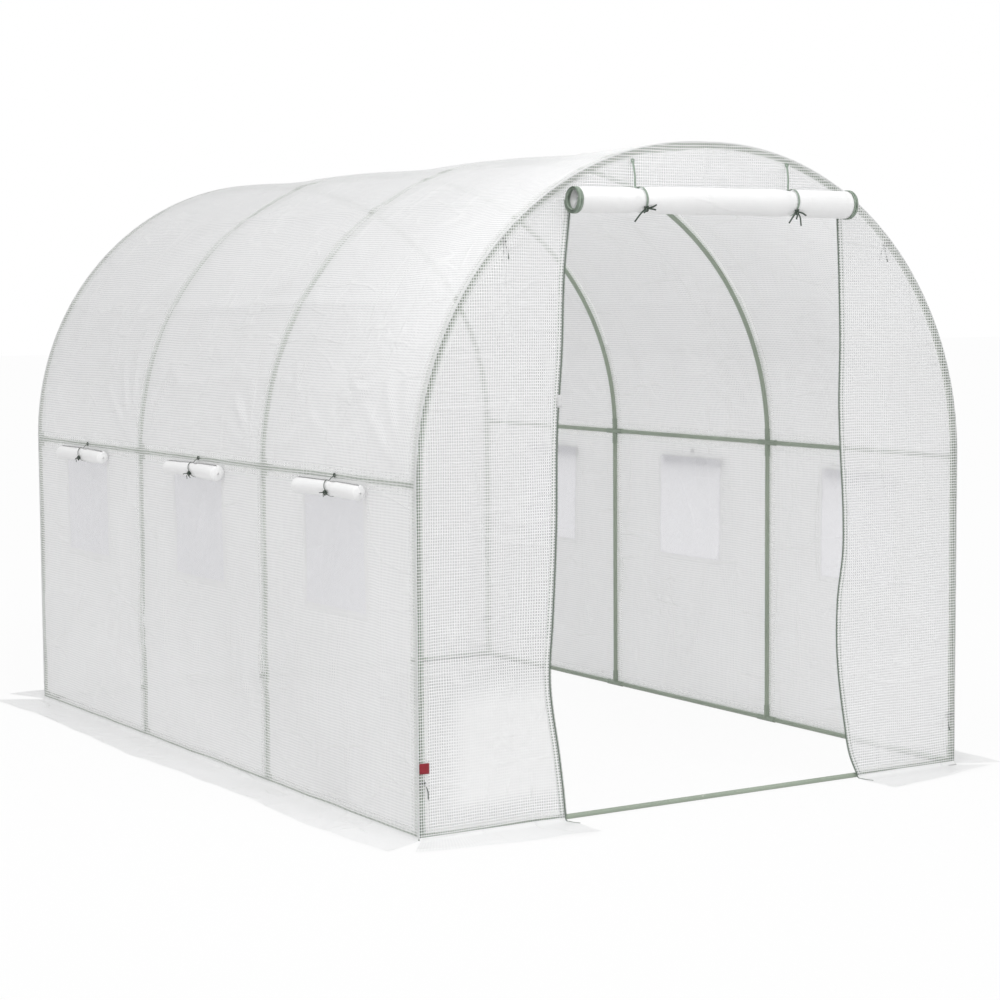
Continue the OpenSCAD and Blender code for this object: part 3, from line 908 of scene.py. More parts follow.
# %% Tunnel cover with its window openings
window_half = (net_box[-1][1][1] - net_box[-1][0][1] - 2 * bay_l) / 2
window_z = {side: (low[2], high[2]) for side, (low, high) in net_box.items()}
HEM_W = border_box[-1][1][2] - window_z[-1][1]
LAP = 2 * MM
cut_half = window_half + HEM_W - LAP
cut_s = {
    side: (s_at(z_high + HEM_W - LAP), s_at(z_low - HEM_W + LAP))
    for side, (z_low, z_high) in window_z.items()
}
y_marks = [-half_l, *(y for bay_y in bay_ys for y in around(bay_y, cut_half)), half_l]
s_marks = {side: [ridge_half, s_eaves, *cut_s[side], s_fold] for side in SIDES}
s_marks = [-m for m in s_marks[-1][::-1]] + [0] + s_marks[1]
openings = [
    (*sorted((side * cut_s[side][0], side * cut_s[side][1])), *around(bay_y, cut_half))
    for side in SIDES
    for bay_y in bay_ys
]
tunnel_cover = cloth("tunnel_cover", spaced(s_marks), spaced(y_marks), tunnel_point, cover_finish, openings)
outwards(tunnel_cover, lambda p: Vector((p.x, 0, p.z - wall_h / 2)))
covers = [f"{wall}_{place}_cover" for place in ("wall", "roof") for wall in ("left", "right")]
adopt(tunnel_cover, "cover_sheet", *covers)
print("tunnel cover:", len(tunnel_cover.data.polygons), "faces,", round(2 * s_ground, 2), "m round")

# %% [markdown]
# ## Skirts along the sides
# The same film turns outwards at the ground and lies there, to be buried or weighed down. Each
# skirt is a sheet of its own here, because it lies flat and has its own finish. It starts on the
# wall's last line, turns through a small fold and runs out over the ground, with a lazy edge.

# %% Side skirts
FOLD_ARC = FOLD_R * math.pi / 2
SKIRT_FLAT = skirt_w - FOLD_R


def smooth_through(points, value):
    """A smooth curve through (position, amount) points, read at value."""
    at, amount = np.array(points, dtype=float).T
    slope = np.gradient(amount, at)
    i = np.clip(np.searchsorted(at, value) - 1, 0, len(at) - 2)
    gap = at[i + 1] - at[i]
    u = np.clip((value - at[i]) / gap, 0, 1)
    start = (1 + 2 * u) * (1 - u) ** 2 * amount[i] + u * (1 - u) ** 2 * gap * slope[i]
    end = u**2 * (3 - 2 * u) * amount[i + 1] + u**2 * (u - 1) * gap * slope[i + 1]
    return start + end


def lying(out, along, phase):
    """How high a skirt lies off the ground: flat near the fold, lifting lazily at its edge."""
    share = np.clip(out / skirt_w, 0, 1.4)
    ripple = 1 + waves(out, along, ((0.6, 0.6, 1.7, phase), (0.4, 2.0, 3.9, 2 * phase)))
    return 1 * MM + (4 * MM * ripple * share**2 + 2.5 * MM * ripple * between(share, 0.05, 0.9))


SIDE_REACH = {
    -1: ((-1.6, 0.125), (-1.2, 0.165), (-0.5, 0.15), (0.3, 0.18), (1.0, 0.155), (1.6, 0.185)),
    1: ((-1.6, 0.145), (-1.0, 0.155), (-0.2, 0.175), (0.6, 0.15), (1.2, 0.17), (1.6, 0.14)),
}


def side_skirt_point(s, y):
    """Points of a side skirt. Past the fold it widens or narrows to its reach."""
    a = abs(s)
    side = side_of(s)
    x, z, nx, nz = section(a)
    out = np.clip(a - s_fold - FOLD_ARC, 0, None)
    reach = np.where(s < 0, *(smooth_through(SIDE_REACH[side], y) for side in SIDES))
    out = out * reach / skirt_w
    flared = y * (1 + skirt_flare / half_l * out / skirt_w)
    x = np.where(out > 0, half_w + FOLD_R + out, x)
    z = z + np.where(out > 0, lying(out, y, 0.3), 1 * MM * (1 - z / FOLD_R).clip(0, 1))
    return columns_of(side * x, flared, z)


skirt_s = spaced([s_fold, s_fold + FOLD_ARC, s_fold + FOLD_ARC + SKIRT_FLAT], 10 * MM)
for side, wall in WALLS.items():
    lines = np.sort(side * skirt_s)
    skirt = cloth(f"{wall}_skirt_sheet", lines, spaced(y_marks), side_skirt_point, skirt_finish)
    outwards(skirt, facing(0, 0, 1))
    adopt(skirt, "skirt_sheet", f"{wall}_skirt")
    print(skirt.name, len(skirt.data.polygons), "faces")

# %% [markdown]
# ## The two ends
# Each end is a flat sheet cut to the tunnel's section, with a skirt along the ground. The front
# one has a doorway: its two edges are free when the door is rolled up, so they hang in long
# curves, and the flap between them is left out. A point of an end sheet is x metres across and
# t metres up the cloth.


# %% End sheets
def profile_x(z):
    """Half the width of an end sheet at height z."""
    rise = np.clip((z - wall_h) / roof_r, 0, 1)
    return ridge_half + roof_r * np.sqrt(1 - rise**2) - 0.5 * MM


LEFT_EDGE = (
    (0.0, -0.530), (0.20, -0.557), (0.44, -0.591), (0.62, -0.583), (0.85, -0.569),
    (1.16, -0.552), (1.40, -0.536), (1.63, -0.526), (1.85, -0.502),
)
RIGHT_EDGE = (
    (0.0, 0.622), (0.07, 0.588), (0.20, 0.556), (0.44, 0.526), (0.58, 0.534), (0.76, 0.560),
    (0.88, 0.558), (1.10, 0.539), (1.22, 0.531), (1.45, 0.533), (1.65, 0.528), (1.85, 0.519),
)


def door_edge(side, z):
    """x of the doorway's free edge at height z. Above the doorway it closes with the arch."""
    points = LEFT_EDGE if side < 0 else RIGHT_EDGE
    low = smooth_through(points, np.minimum(z, door_h))
    share = points[-1][1] / profile_x(np.array(door_h))
    return np.where(z > door_h, profile_x(z) * share, low)


# Creases run from one point to another, each (x, z), with their height and width in mm.
# Crumpled patches have a middle, a size, a count, a height in mm and a seed.
END_CREASES = {
    -1: (
        ((-0.90, 0.15), (-0.84, 1.45), 6, 26), ((-0.72, 0.30), (-0.70, 1.25), -4, 20),
        ((0.80, 0.30), (0.72, 1.50), 5, 24), ((0.95, 0.10), (0.88, 0.9), -4, 18),
        ((-1.0, 0.62), (-0.62, 0.50), 3.5, 14),
    ),
    1: (
        ((-0.62, 0.08), (-0.59, 1.7), 3.5, 9), ((-0.21, 0.08), (-0.18, 1.7), 3, 9),
        ((0.2, 0.08), (0.23, 1.7), 3.5, 9), ((0.63, 0.08), (0.66, 1.7), 3, 9),
        ((-0.95, 0.98), (0.95, 1.0), 3, 9),
    ),
}
END_CRUMPLES = {
    -1: (
        ((-0.85, 0.42), (0.3, 0.2), 14, 4, 71), ((0.85, 0.35), (0.3, 0.25), 12, 3.5, 72),
        ((0.0, 1.95), (0.9, 0.1), 8, 2, 73),
    ),
    1: (((-0.3, 0.5), (1.2, 0.6), 34, 4, 81), ((0.2, 1.4), (1.0, 0.5), 22, 3, 82)),
}


def end_swell(x, t, end):
    """How far an end sheet stands out: big soft folds, creases and the free edges' curl."""
    free = np.clip((profile_x(t) - abs(x)) / 0.06, 0, 1)
    level = np.clip((crown_z - t) / 0.1, 0, 1) * np.clip(t / 0.1, 0, 1)
    soft = ((4.5, 1.3, 0.25, 0.15 * end), (2.6, 2.9, 0.45, 0.55), (1.4, 0.8, 1.6, 0.3), (0.8, 4.9, 2.2, 0.8))
    swell = waves(x, t, [(tall * MM, *rest) for tall, *rest in soft])
    if end < 0:
        for side in SIDES:
            near = np.exp(-(((x - door_edge(side, t)) / 0.07) ** 2)) * (side * x > 0)
            curl = np.sin(math.tau * (0.75 * t + 0.2 * side)) * between(t, -0.1, door_h + 0.1)
            swell = swell + near * 9 * MM * curl
    for start, stop, tall, width in END_CREASES[end]:
        swell = swell + crease(x, t, start, stop, tall * MM, width * MM)
    for middle, size, count, tall, seed in END_CRUMPLES[end]:
        swell = swell + crumpled(x, t, middle, size, count, tall * MM, seed)
    return swell * free * level


def end_sheet_point(x, t, end, lift=0.0):
    """Points of an end sheet. end is -1 at the front and 1 at the back."""
    below = np.clip(FOLD_R - t, 0, None)
    theta = np.clip(below / FOLD_R, 0, math.pi / 2)
    out = np.clip(below - FOLD_ARC, 0, None)
    y = half_l + np.where(below > 0, FOLD_R * (1 - np.cos(theta)) + out, end_swell(x, t, end) + lift)
    z = np.where(below > 0, FOLD_R * (1 - np.sin(theta)), t)
    return columns_of(x, end * y, z)


def end_heights(low, high):
    """Lines up the cloth from low to high: even on the wall, closer where the arch closes in."""
    marks = [low, door_h, crown_z - 0.12, crown_z - 0.04, crown_z - 0.012]
    closer = ((1, 3, 14 * MM), (2, 4, 8 * MM), (3, 5, 4 * MM))
    lines = [spaced(marks[start:stop], cell)[1:] for start, stop, cell in closer]
    return np.concatenate([spaced(marks[:2]), *lines, [high - 4 * MM, high - 1 * MM]])


# %% Front sheet with its doorway
SIDE_COLUMNS, DOOR_COLUMNS = 32, 60
column_xs = np.arange(2 * SIDE_COLUMNS + DOOR_COLUMNS + 1, dtype=float)


def front_x(column, t):
    """x of a column of the front sheet: from the arch to the door edge, over the door, and on."""
    left, right, wide = door_edge(-1, t), door_edge(1, t), profile_x(t)
    u_left = np.clip(column / SIDE_COLUMNS, 0, 1)
    u_door = np.clip((column - SIDE_COLUMNS) / DOOR_COLUMNS, 0, 1)
    u_right = np.clip((column - SIDE_COLUMNS - DOOR_COLUMNS) / SIDE_COLUMNS, 0, 1)
    x = -wide + u_left * (left + wide) + u_door * (right - left)
    return x + u_right * (wide - right)


def front_point(column, t):
    """Points and UVs of the front sheet."""
    x = front_x(column, t)
    return end_sheet_point(x, t, -1), columns_of(x, t)


doorway = (SIDE_COLUMNS, SIDE_COLUMNS + DOOR_COLUMNS, 0, door_h)
front_sheet = cloth(
    "front_sheet", column_xs, end_heights(FOLD_R, crown_z), front_point, end_finish, [doorway]
)
outwards(front_sheet, facing(0, -1, 0))
adopt(front_sheet, "cover_sheet", "front_left_panel", "front_right_panel", "front_gable_panel")


# %% Back sheet
def back_point(share, t):
    """Points and UVs of the back sheet. share runs from -1 to 1 across it."""
    x = share * profile_x(t)
    return end_sheet_point(x, t, 1), columns_of(x, t)


back_sheet = cloth(
    "back_sheet", spaced([-1, 1], 16 * MM), end_heights(FOLD_R, crown_z), back_point, end_finish
)
outwards(back_sheet, facing(0, 1, 0))
adopt(back_sheet, "cover_sheet", "back_end_panel")
for sheet in (front_sheet, back_sheet):
    print(sheet.name, len(sheet.data.polygons), "faces")

# %% End skirts
FRONT_REACH = {
    -1: ((-1.2, 0.10), (-1.0, 0.125), (-0.8, 0.16), (-0.62, 0.19), (-0.5, 0.205)),
    1: ((0.5, 0.20), (0.63, 0.185), (0.80, 0.155), (0.95, 0.12), (1.2, 0.085)),
}
DOOR_PHASE = 0.15
BACK_REACH = ((-1.2, 0.17), (-0.9, 0.19), (-0.4, 0.155), (0.1, 0.18), (0.6, 0.15), (1.2, 0.165))


def end_skirt(name, node, end, x_inner, x_outer, reach_points, phase):
    """A skirt along the foot of an end sheet. x_inner and x_outer are its ends at the fold."""
    across = spaced([0, 1], CELL / abs(x_outer - x_inner))
    down = spaced([-FOLD_ARC - SKIRT_FLAT, -FOLD_ARC, 0], 10 * MM)

    def place(u, drop):
        share = np.clip(-drop - FOLD_ARC, 0, None) / skirt_w
        side_out = np.sign(x_outer) * skirt_flare * share
        x = x_inner + (x_outer - x_inner) * u
        foot = x + side_out * u
        reach = smooth_through(reach_points, x) / skirt_w
        points = end_sheet_point(foot, FOLD_R + drop * np.where(share > 0, reach, 1.0), end)
        out = np.clip(abs(points[:, 1]) - half_l - FOLD_R, 0, None)
        points[:, 2] += np.where(out > 0, lying(out, x, phase), 1 * MM * (-drop / FOLD_ARC).clip(0, 1))
        return points, columns_of(x, drop)

    skirt = cloth(name, across, down, place, skirt_finish)
    outwards(skirt, facing(0, 0, 1))
    adopt(skirt, "skirt_sheet", node)
    return skirt


foot = np.array(FOLD_R)
left_foot, right_foot = float(door_edge(-1, foot)), float(door_edge(1, foot))
edge_x = float(profile_x(foot))
for name, node, end, x_inner, side, reach_points, phase in (
    ("front_left_skirt_sheet", "front_left_skirt", -1, left_foot, -1, FRONT_REACH[-1], DOOR_PHASE),
    ("front_right_skirt_sheet", "front_right_skirt", -1, right_foot, 1, FRONT_REACH[1], 0.6),
    ("back_skirt_sheet_left", "back_skirt", 1, 0.0, -1, BACK_REACH, 0.35),
    ("back_skirt_sheet_right", "back_skirt", 1, 0.0, 1, BACK_REACH, 0.35),
):
    skirt = end_skirt(name, node, end, x_inner, side * edge_x, reach_points, phase)
    width = edge_x - side * x_inner
    print(name, round(width, 3), "m wide")

# %% [markdown]
# ## Seams round the ends
# Where an end sheet meets the tunnel cover, the edge of the cover is turned round the corner and
# welded. The seam is a narrow white strip, a little whiter than the film because it is two
# sheets thick. Its strip runs 11 mm along the roof and the walls, and 3 mm round the corner.

# %% End seams
SEAM_SIDE, SEAM_LIFT = 11 * MM, 0.5 * MM


def end_seam(name, end):
    """The white strip where an end sheet meets the tunnel cover."""
    def place(s, across):
        over = np.clip(across, None, SEAM_SIDE)
        down = np.clip(across - SEAM_SIDE, 0, None) * (1 + 0.10 * np.sin(s * 19) * np.sin(s * 7.3))
        a = np.minimum(abs(s), s_fold)
        x, z, nx, nz = section(a)
        side = side_of(s)
        lift = SEAM_LIFT - down
        y = half_l - SEAM_SIDE + over + 0.8 * MM * over / SEAM_SIDE
        return columns_of(side * (x + nx * lift), end * y, z + nz * lift)

    lines = spaced([-s_fold, -s_eaves, -ridge_half, ridge_half, s_eaves, s_fold], 14 * MM)
    across = np.array([0, 3.0, 7.0, 11.0, 11.5, 12.5, 14.0]) * MM
    seam = cloth(name, lines, across, place, hem_finish)
    outwards(seam, lambda p: Vector((p.x, end, max(p.z - wall_h, 0))))
    return adopt(seam, "hem_sheet")


front_seam = end_seam("front_seam", -1)
back_seam = end_seam("back_seam", 1)
end_area = 2 * half_w * wall_h + 2 * ridge_half * roof_r + math.pi / 2 * roof_r**2
print("seams", front_seam.name, back_seam.name, "end area", round(end_area, 2), "m2")

# %% [markdown]
# ## Windows
# Each opening in a wall has an insect net behind it and a white hem round it. Net and hem both
# follow the wall's own folds, because they use the same function for their place. The net has
# a few long creases that run to its lower corner.

# %% Window nets and hems
NET_TUCK = 3 * MM
NET_CREASES = (
    ((0.10, 0.35), (-0.06, 0.05), 9, 14), ((0.17, 0.22), (-0.02, 0.02), -7, 14),
    ((0.02, 0.08), (0.18, 0.0), 9, 9), ((-0.14, 0.32), (-0.10, 0.04), 5, 12),
    ((-0.18, 0.12), (0.05, 0.015), 6, 9),
)


def window_net(name, side, bay_y):
    """The insect net behind an opening, tucked under the hem all round."""
    z_low, z_high = window_z[side]

    def place(s, y):
        points = tunnel_point(s, y, -0.5 * MM)
        z, across = wall_h + s_eaves - abs(s), (y - bay_y) * side
        rise = z - z_low
        upright, level = between(z, z_low, z_high), between(y, *around(bay_y, window_half))
        inside = upright**0.5 * level**0.5
        puff = 3 * MM * upright
        for start, end, tall, width in NET_CREASES:
            puff = puff + crease(across, rise, start, end, tall * MM, width * MM)
        points[:, 0] += side * puff * inside
        return points

    lines = np.sort(side * spaced([s_at(z_high + NET_TUCK), s_at(z_low - NET_TUCK)], 9 * MM))
    y_lines = spaced(around(bay_y, window_half + NET_TUCK), 9 * MM)
    net = cloth(name, lines, y_lines, place, net_finish)
    outwards(net, facing(side, 0, 0))
    return net


def window_hem(name, side, bay_y):
    """The white hem round an opening, a little crowned."""
    z_low, z_high = window_z[side]

    def place(s, y):
        z = wall_h + s_eaves - abs(s)
        inner = np.maximum(abs(y - bay_y) - window_half, np.maximum(z_low - z, z - z_high))
        bulge = 1.2 * MM * np.sin(math.pi * np.clip(inner / HEM_W, 0, 1))
        return tunnel_point(s, y, 0.4 * MM + bulge)

    z_marks = [z_high + HEM_W, z_high, z_low, z_low - HEM_W]
    y_marks = sorted((*around(bay_y, window_half + HEM_W), *around(bay_y, window_half)))
    lines = np.sort(side * spaced([s_at(z) for z in z_marks], 5 * MM))
    hole = (*sorted((side * s_at(z_low), side * s_at(z_high))), *around(bay_y, window_half))
    hem = cloth(name, lines, spaced(y_marks, 5 * MM), place, hem_finish, [hole])
    outwards(hem, facing(side, 0, 0))
    return hem


for side, wall in WALLS.items():
    for number, bay_y in enumerate(bay_ys, 1):
        net = window_net(f"{wall}_window_net_{number}", side, bay_y)
        hem = window_hem(f"{wall}_window_hem_{number}", side, bay_y)
        adopt(net, "window_net", f"{wall}_window_nets")
        adopt(hem, "hem_sheet", f"{wall}_window_borders")

# %% [markdown]
# ## Rolled flaps
# A window's flap is rolled up above it, and the door's whole flap hangs rolled over the doorway.
# Each is one sheet wound in a spiral, so its ends show the turns. The roll is pinched where a
# tie holds it, bulges between, and its ends droop a little.


# %% A sheet wound into a roll
LOOSE_TURNS = ((0.5, 2.3, 2.0, 0.1), (0.35, 5.1, 3.0, 0.6), (0.3, 1.1, 1.0, 0.3))


def rolled_sheet(
    name, middle, axis, radii, half_length, gap, ties, droop, finish, start_turn, core, soft_ends=0.0
):
    """A sheet wound round axis ("x" or "y") at middle. radii are the outer radius at the two
    ends, gap the distance between turns, ties the places along the axis that are pinched, and
    soft_ends how much the ends close in."""
    radius = sum(radii) / 2
    turns = (radius - core) / gap
    wound = math.pi * (radius**2 - core**2) / gap

    def place(along, t):
        r = np.sqrt(np.clip(radius**2 - t * gap / math.pi, core**2, None))
        angle = math.tau * ((radius - r) / gap + start_turn)
        size = (radii[0] + (radii[1] - radii[0]) * (along / half_length + 1) / 2) / radius
        for tie in ties:
            size = size * (1 - 0.13 * np.exp(-(((along - tie) / (0.55 * radius)) ** 2)))
        size = size * (1 - soft_ends * np.exp(-(((half_length - abs(along)) / (0.16 * radius)) ** 2)))
        loose = waves(along, angle / math.tau, LOOSE_TURNS)
        r = r * size + 0.9 * MM * loose * (r / radius) ** 2
        sag = droop * (along / half_length) ** 2
        out, up = r * np.cos(angle), r * np.sin(angle) - sag
        if axis == "x":
            return columns_of(middle[0] + along, middle[1] - out, middle[2] + up)
        side = 1 if middle[0] > 0 else -1
        return columns_of(middle[0] + side * out, middle[1] + along, middle[2] + up)

    ends = [half_length - inset * MM for inset in (14, 9, 6, 3.5, 1.5, 0)]
    lines = spaced([-m for m in ends[::-1]] + ends, 14 * MM)
    return cloth(name, lines, wound * np.linspace(0, 1, int(turns * 22)), place, finish), wound


# %% Window rolls
roll_low, roll_high = roll_box[1]
window_roll_r = (roll_high[0] - roll_low[0]) / 2
window_roll_x = (roll_high[0] + roll_low[0]) / 2
window_roll_z = {side: (low[2] + high[2]) / 2 for side, (low, high) in roll_box.items()}
# The flap is rolled up shorter than the piece in the CAD model, and lies a little forward.
ROLL_SHORTER, ROLL_FORWARD, WINDOW_KNOT = 23 * MM, 20 * MM, -50 * MM
window_roll_half = (roll_high[1] - roll_low[1] - 2 * bay_l) / 2 - ROLL_SHORTER
for side, wall in WALLS.items():
    for number, bay_y in enumerate(bay_ys, 1):
        lean = 0.004 * side * (1 if number % 2 else -1)
        roll, wound = rolled_sheet(
            f"{wall}_window_roll_{number}",
            (side * window_roll_x, bay_y - ROLL_FORWARD, window_roll_z[side]), "y",
            (window_roll_r + lean / 2, window_roll_r - lean / 2), window_roll_half, 3.6 * MM,
            [WINDOW_KNOT + ROLL_FORWARD], 3 * MM, rolled_finish, 0.25, 5 * MM, 0.86,
        )
        adopt(roll, "rolled_sheet", f"{wall}_window_rolls")
print("window flaps are", round(2 * window_roll_half, 3), "by", round(wound, 3), "m")

# %% Door roll
door_roll_r = (door_roll_high[2] - door_roll_low[2]) / 2
door_roll_at = (0, (door_roll_low[1] + door_roll_high[1]) / 2, (door_roll_low[2] + door_roll_high[2]) / 2)
DOOR_TIES = (-0.289, 0.283)
DOOR_RADII = (door_roll_r - 4 * MM, door_roll_r + 2 * MM)
door_roll, door_wound = rolled_sheet(
    "door_roll_sheet", door_roll_at, "x", DOOR_RADII, door_roll_high[0], 3.3 * MM, DOOR_TIES, 3 * MM,
    rolled_finish, 0.5, 6 * MM,
)
adopt(door_roll, "rolled_sheet", "door_roll")
print("door flap is", round(2 * door_roll_high[0], 3), "by", round(door_wound, 3), "m")

# %% [markdown]
# ## Zips along the doorway
# Half of each zip stays on the door's edge: a dark green tape with a row of small teeth, beside
# a hem where the film is folded double. Tape and hem use the same grid as the sheet, moved
# sideways from the free edge. One tooth is modelled and then copied along the tape.


# %% Door hems and zip tapes
ZIP_LOW = -0.075


def door_edge_point(side, inset, t, lift):
    """Points beside the door's free edge, inset into the sheet, on the wall and on the skirt."""
    x = door_edge(side, np.clip(t, FOLD_R, door_h)) + side * inset
    points = end_sheet_point(x, t, -1, lift)
    out = np.clip(-points[:, 1] - half_l - FOLD_R, 0, None)
    points[:, 2] += np.where(out > 0, lying(out, x, DOOR_PHASE) + lift, 0.0)
    points[:, 2] += np.where((t < FOLD_R) & (out <= 0), 1.5 * MM, 0.0)
    return points


def edge_strip(name, side, insets, t_lines, lift, thickness, finish):
    """A strip along the door's free edge. insets are its lines, in metres into the sheet."""
    def place(inset, t):
        return door_edge_point(side, inset, t, lift), columns_of(inset, t)

    strip = cloth(name, np.array(insets), t_lines, place, finish)
    outwards(strip, facing(0, -1, 0.3))
    thicken(strip, thickness)
    return strip


def one_tooth():
    """A moulded zip tooth: a small block, its edges bevelled."""
    bpy.ops.object.select_all(action="DESELECT")
    bpy.ops.mesh.primitive_cube_add(size=1)
    tooth = bpy.context.object
    bpy.ops.object.mode_set(mode="EDIT")
    bpy.ops.transform.resize(value=(2.4 * MM, 1.6 * MM, 2.0 * MM))
    bpy.ops.mesh.bevel(offset=0.3 * MM, segments=1)
    bpy.ops.object.mode_set(mode="OBJECT")
    shape = np.array([v.co[:] for v in tooth.data.vertices])
    faces = [list(p.vertices) for p in tooth.data.polygons]
    bpy.data.objects.remove(tooth)
    return shape, faces


def copies(name, shape, faces, frames, finish):
    """One mesh with a copy of shape in every (place, three axes) frame."""
    points, polygons = [], []
    for number, (place, axes) in enumerate(frames):
        points.append(shape @ axes + place)
        polygons += [[i + number * len(shape) for i in face] for face in faces]
    mesh = bpy.data.meshes.new(name)
    mesh.from_pydata(np.concatenate(points).tolist(), [], polygons)
    piece = bpy.data.objects.new(name, mesh)
    bpy.context.collection.objects.link(piece)
    mesh.uv_layers.new(name="UVMap")
    mesh.materials.append(finish)
    return piece


HEM_INSETS, TAPE_INSETS = [0.001, 0.006, 0.013, 0.019], [-0.0025, -0.001, 0.0, 0.001]
TOOTH_PITCH, TOOTH_INSET, TOOTH_LIFT = 4 * MM, -0.0042, 2.6 * MM
hem_t = spaced([FOLD_R, door_h])
zip_t = spaced([ZIP_LOW, FOLD_R, door_h - 4 * MM], 9 * MM)
tooth_shape, tooth_faces = one_tooth()
for side, wall in WALLS.items():
    hem = edge_strip(f"{wall}_door_hem", side, HEM_INSETS, hem_t, 1.1 * MM, 0.3 * MM, dotted_finish)
    tape = edge_strip(f"{wall}_zip_tape", side, TAPE_INSETS, zip_t, 2.2 * MM, 1.1 * MM, zip_finish)
    marks = np.arange(FOLD_R, door_h - 8 * MM, TOOTH_PITCH)
    inset = np.full_like(marks, TOOTH_INSET)
    at = door_edge_point(side, inset, marks, TOOTH_LIFT)
    ahead = door_edge_point(side, inset, marks + 1 * MM, TOOTH_LIFT) - at
    frames = []
    for place, run in zip(at, ahead):
        up = run / np.linalg.norm(run)
        forth = np.cross((-1.0, 0.0, 0.0), up)
        frames.append((place, np.array([np.cross(forth, up) * -1, forth, up])))
    teeth = copies(f"{wall}_zip_teeth", tooth_shape, tooth_faces, frames, zip_finish)
    adopt(hem, "hem_sheet")
    adopt(tape, "zip_tape", f"{wall}_door_zip")
    adopt(teeth, "zip_tape")
    print(wall, "zip:", len(frames), "teeth")

# %% [markdown]
# ## Zip spirals at the ends of the door roll
# The other half of each zip is rolled up with the flap, so it shows as a spiral at both ends of
# the roll. It is wound as the flap is, but it is only 12 mm long and thicker than the film.

# %% Zip spirals
ZIP_ON_FLAP = 12 * MM
ZIP_TURN = 4.6 * MM
door_roll_ends_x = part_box("door_roll_ends")[1][0]
for side, wall in WALLS.items():
    middle_x = side * (door_roll_ends_x - ZIP_ON_FLAP / 2)
    radius = DOOR_RADII[0] if side < 0 else DOOR_RADII[1]
    spiral, wound = rolled_sheet(
        f"{wall}_zip_spiral", (middle_x, door_roll_at[1], door_roll_at[2] - 3 * MM), "x",
        (radius + 1.5 * MM, radius + 1.5 * MM), ZIP_ON_FLAP / 2, ZIP_TURN, (), 0.0, spiral_finish, 0.5,
        radius - 2.2 * ZIP_TURN,
    )
    thicken(spiral, 2.6 * MM)
    adopt(spiral, "zip_tape", "door_roll_ends")
    print(spiral.name, round(wound, 2), "m of zip tape")

# %% [markdown]
# ## Ties
# A tie is a short woven tape: it leaves the cover at an eyelet, goes round the roll, and is
# knotted in front with its ends hanging. The tape is a strip led along a smooth route and given
# its thickness. The knot starts as a torus, whose ring is led along a knotted path.


# %% Tape, knot and eyelet
def tape(name, route, across, width, finish, thickness=0.9 * MM, step=4 * MM):
    """A strip led along a smooth route of points. across is the way its width lies."""
    route = np.array(route, dtype=float)
    gaps = np.linalg.norm(np.diff(route, axis=0), axis=1)
    run = np.concatenate([[0], np.cumsum(gaps)])
    ways = np.broadcast_to(np.array(across, dtype=float), route.shape)

    def place(s, t):
        line = columns_of(*(smooth_through(list(zip(run, route[:, i])), s) for i in range(3)))
        wide = unit(columns_of(*(np.interp(s, run, ways[:, i]) for i in range(3))))
        return line + wide * t[:, None]

    strip = cloth(name, spaced([0, run[-1]], step), np.linspace(-width / 2, width / 2, 5), place, finish)
    thicken(strip, thickness)
    return strip


def knot(name, middle, size, finish, face=(0, -1, 0)):
    """A tight little overhand knot whose flat side looks towards face."""
    bpy.ops.object.select_all(action="DESELECT")
    bpy.ops.mesh.primitive_torus_add(major_segments=54, minor_segments=8, major_radius=1, minor_radius=0.3)
    piece = bpy.context.object
    piece.name = piece.data.name = name
    mesh = piece.data
    ring = np.array([v.co[:] for v in mesh.vertices])
    u = np.arctan2(ring[:, 1], ring[:, 0])
    v = np.arctan2(ring[:, 2], np.hypot(ring[:, 0], ring[:, 1]) - 1)

    def path(a):
        x, y = np.sin(a) + 2 * np.sin(2 * a), np.cos(a) - 2 * np.cos(2 * a)
        return columns_of(x, y, -1.3 * np.sin(3 * a))

    run = unit(path(u + 0.01) - path(u - 0.01))
    flat = unit(np.cross(run, (0.0, 0.0, 1.0)))
    rise = np.cross(flat, run)
    points = path(u) + flat * (1.05 * np.cos(v))[:, None] + rise * (0.55 * np.sin(v))[:, None]
    points *= size / 6.4
    turn = Vector(face).to_track_quat("Z", "Y").to_matrix()
    points = points @ np.array(turn).T + np.array(middle)
    mesh.vertices.foreach_set("co", points.ravel())
    for loop in mesh.uv_layers.active.data:
        loop.uv = loop.uv[0] * 6 * size, loop.uv[1] * size
    mesh.materials.append(finish)
    mesh.shade_smooth()
    bpy.ops.object.mode_set(mode="EDIT")
    bpy.ops.mesh.select_all(action="SELECT")
    bpy.ops.mesh.normals_make_consistent(inside=False)
    bpy.ops.object.mode_set(mode="OBJECT")
    return piece


def eyelet(name, middle, face, finish):
    """A small round eyelet, pressed flat."""
    bpy.ops.object.select_all(action="DESELECT")
    bpy.ops.mesh.primitive_torus_add(
        major_segments=24, minor_segments=8, major_radius=5 * MM, minor_radius=2.4 * MM
    )
    piece = bpy.context.object
    piece.name = piece.data.name = name
    turn = Vector(face).to_track_quat("Z", "Y").to_matrix().to_4x4()
    flatten = Matrix.Diagonal((1, 1, 0.5, 1))
    piece.data.transform(Matrix.Translation(middle) @ turn @ flatten)
    piece.data.materials.append(finish)
    piece.data.shade_smooth()
    return piece


def joined(name, pieces):
    """The pieces as one object."""
    bpy.ops.object.select_all(action="DESELECT")
    for piece in pieces:
        piece.select_set(True)
    bpy.context.view_layer.objects.active = pieces[0]
    bpy.ops.object.join()
    pieces[0].name = pieces[0].data.name = name
    return pieces[0]


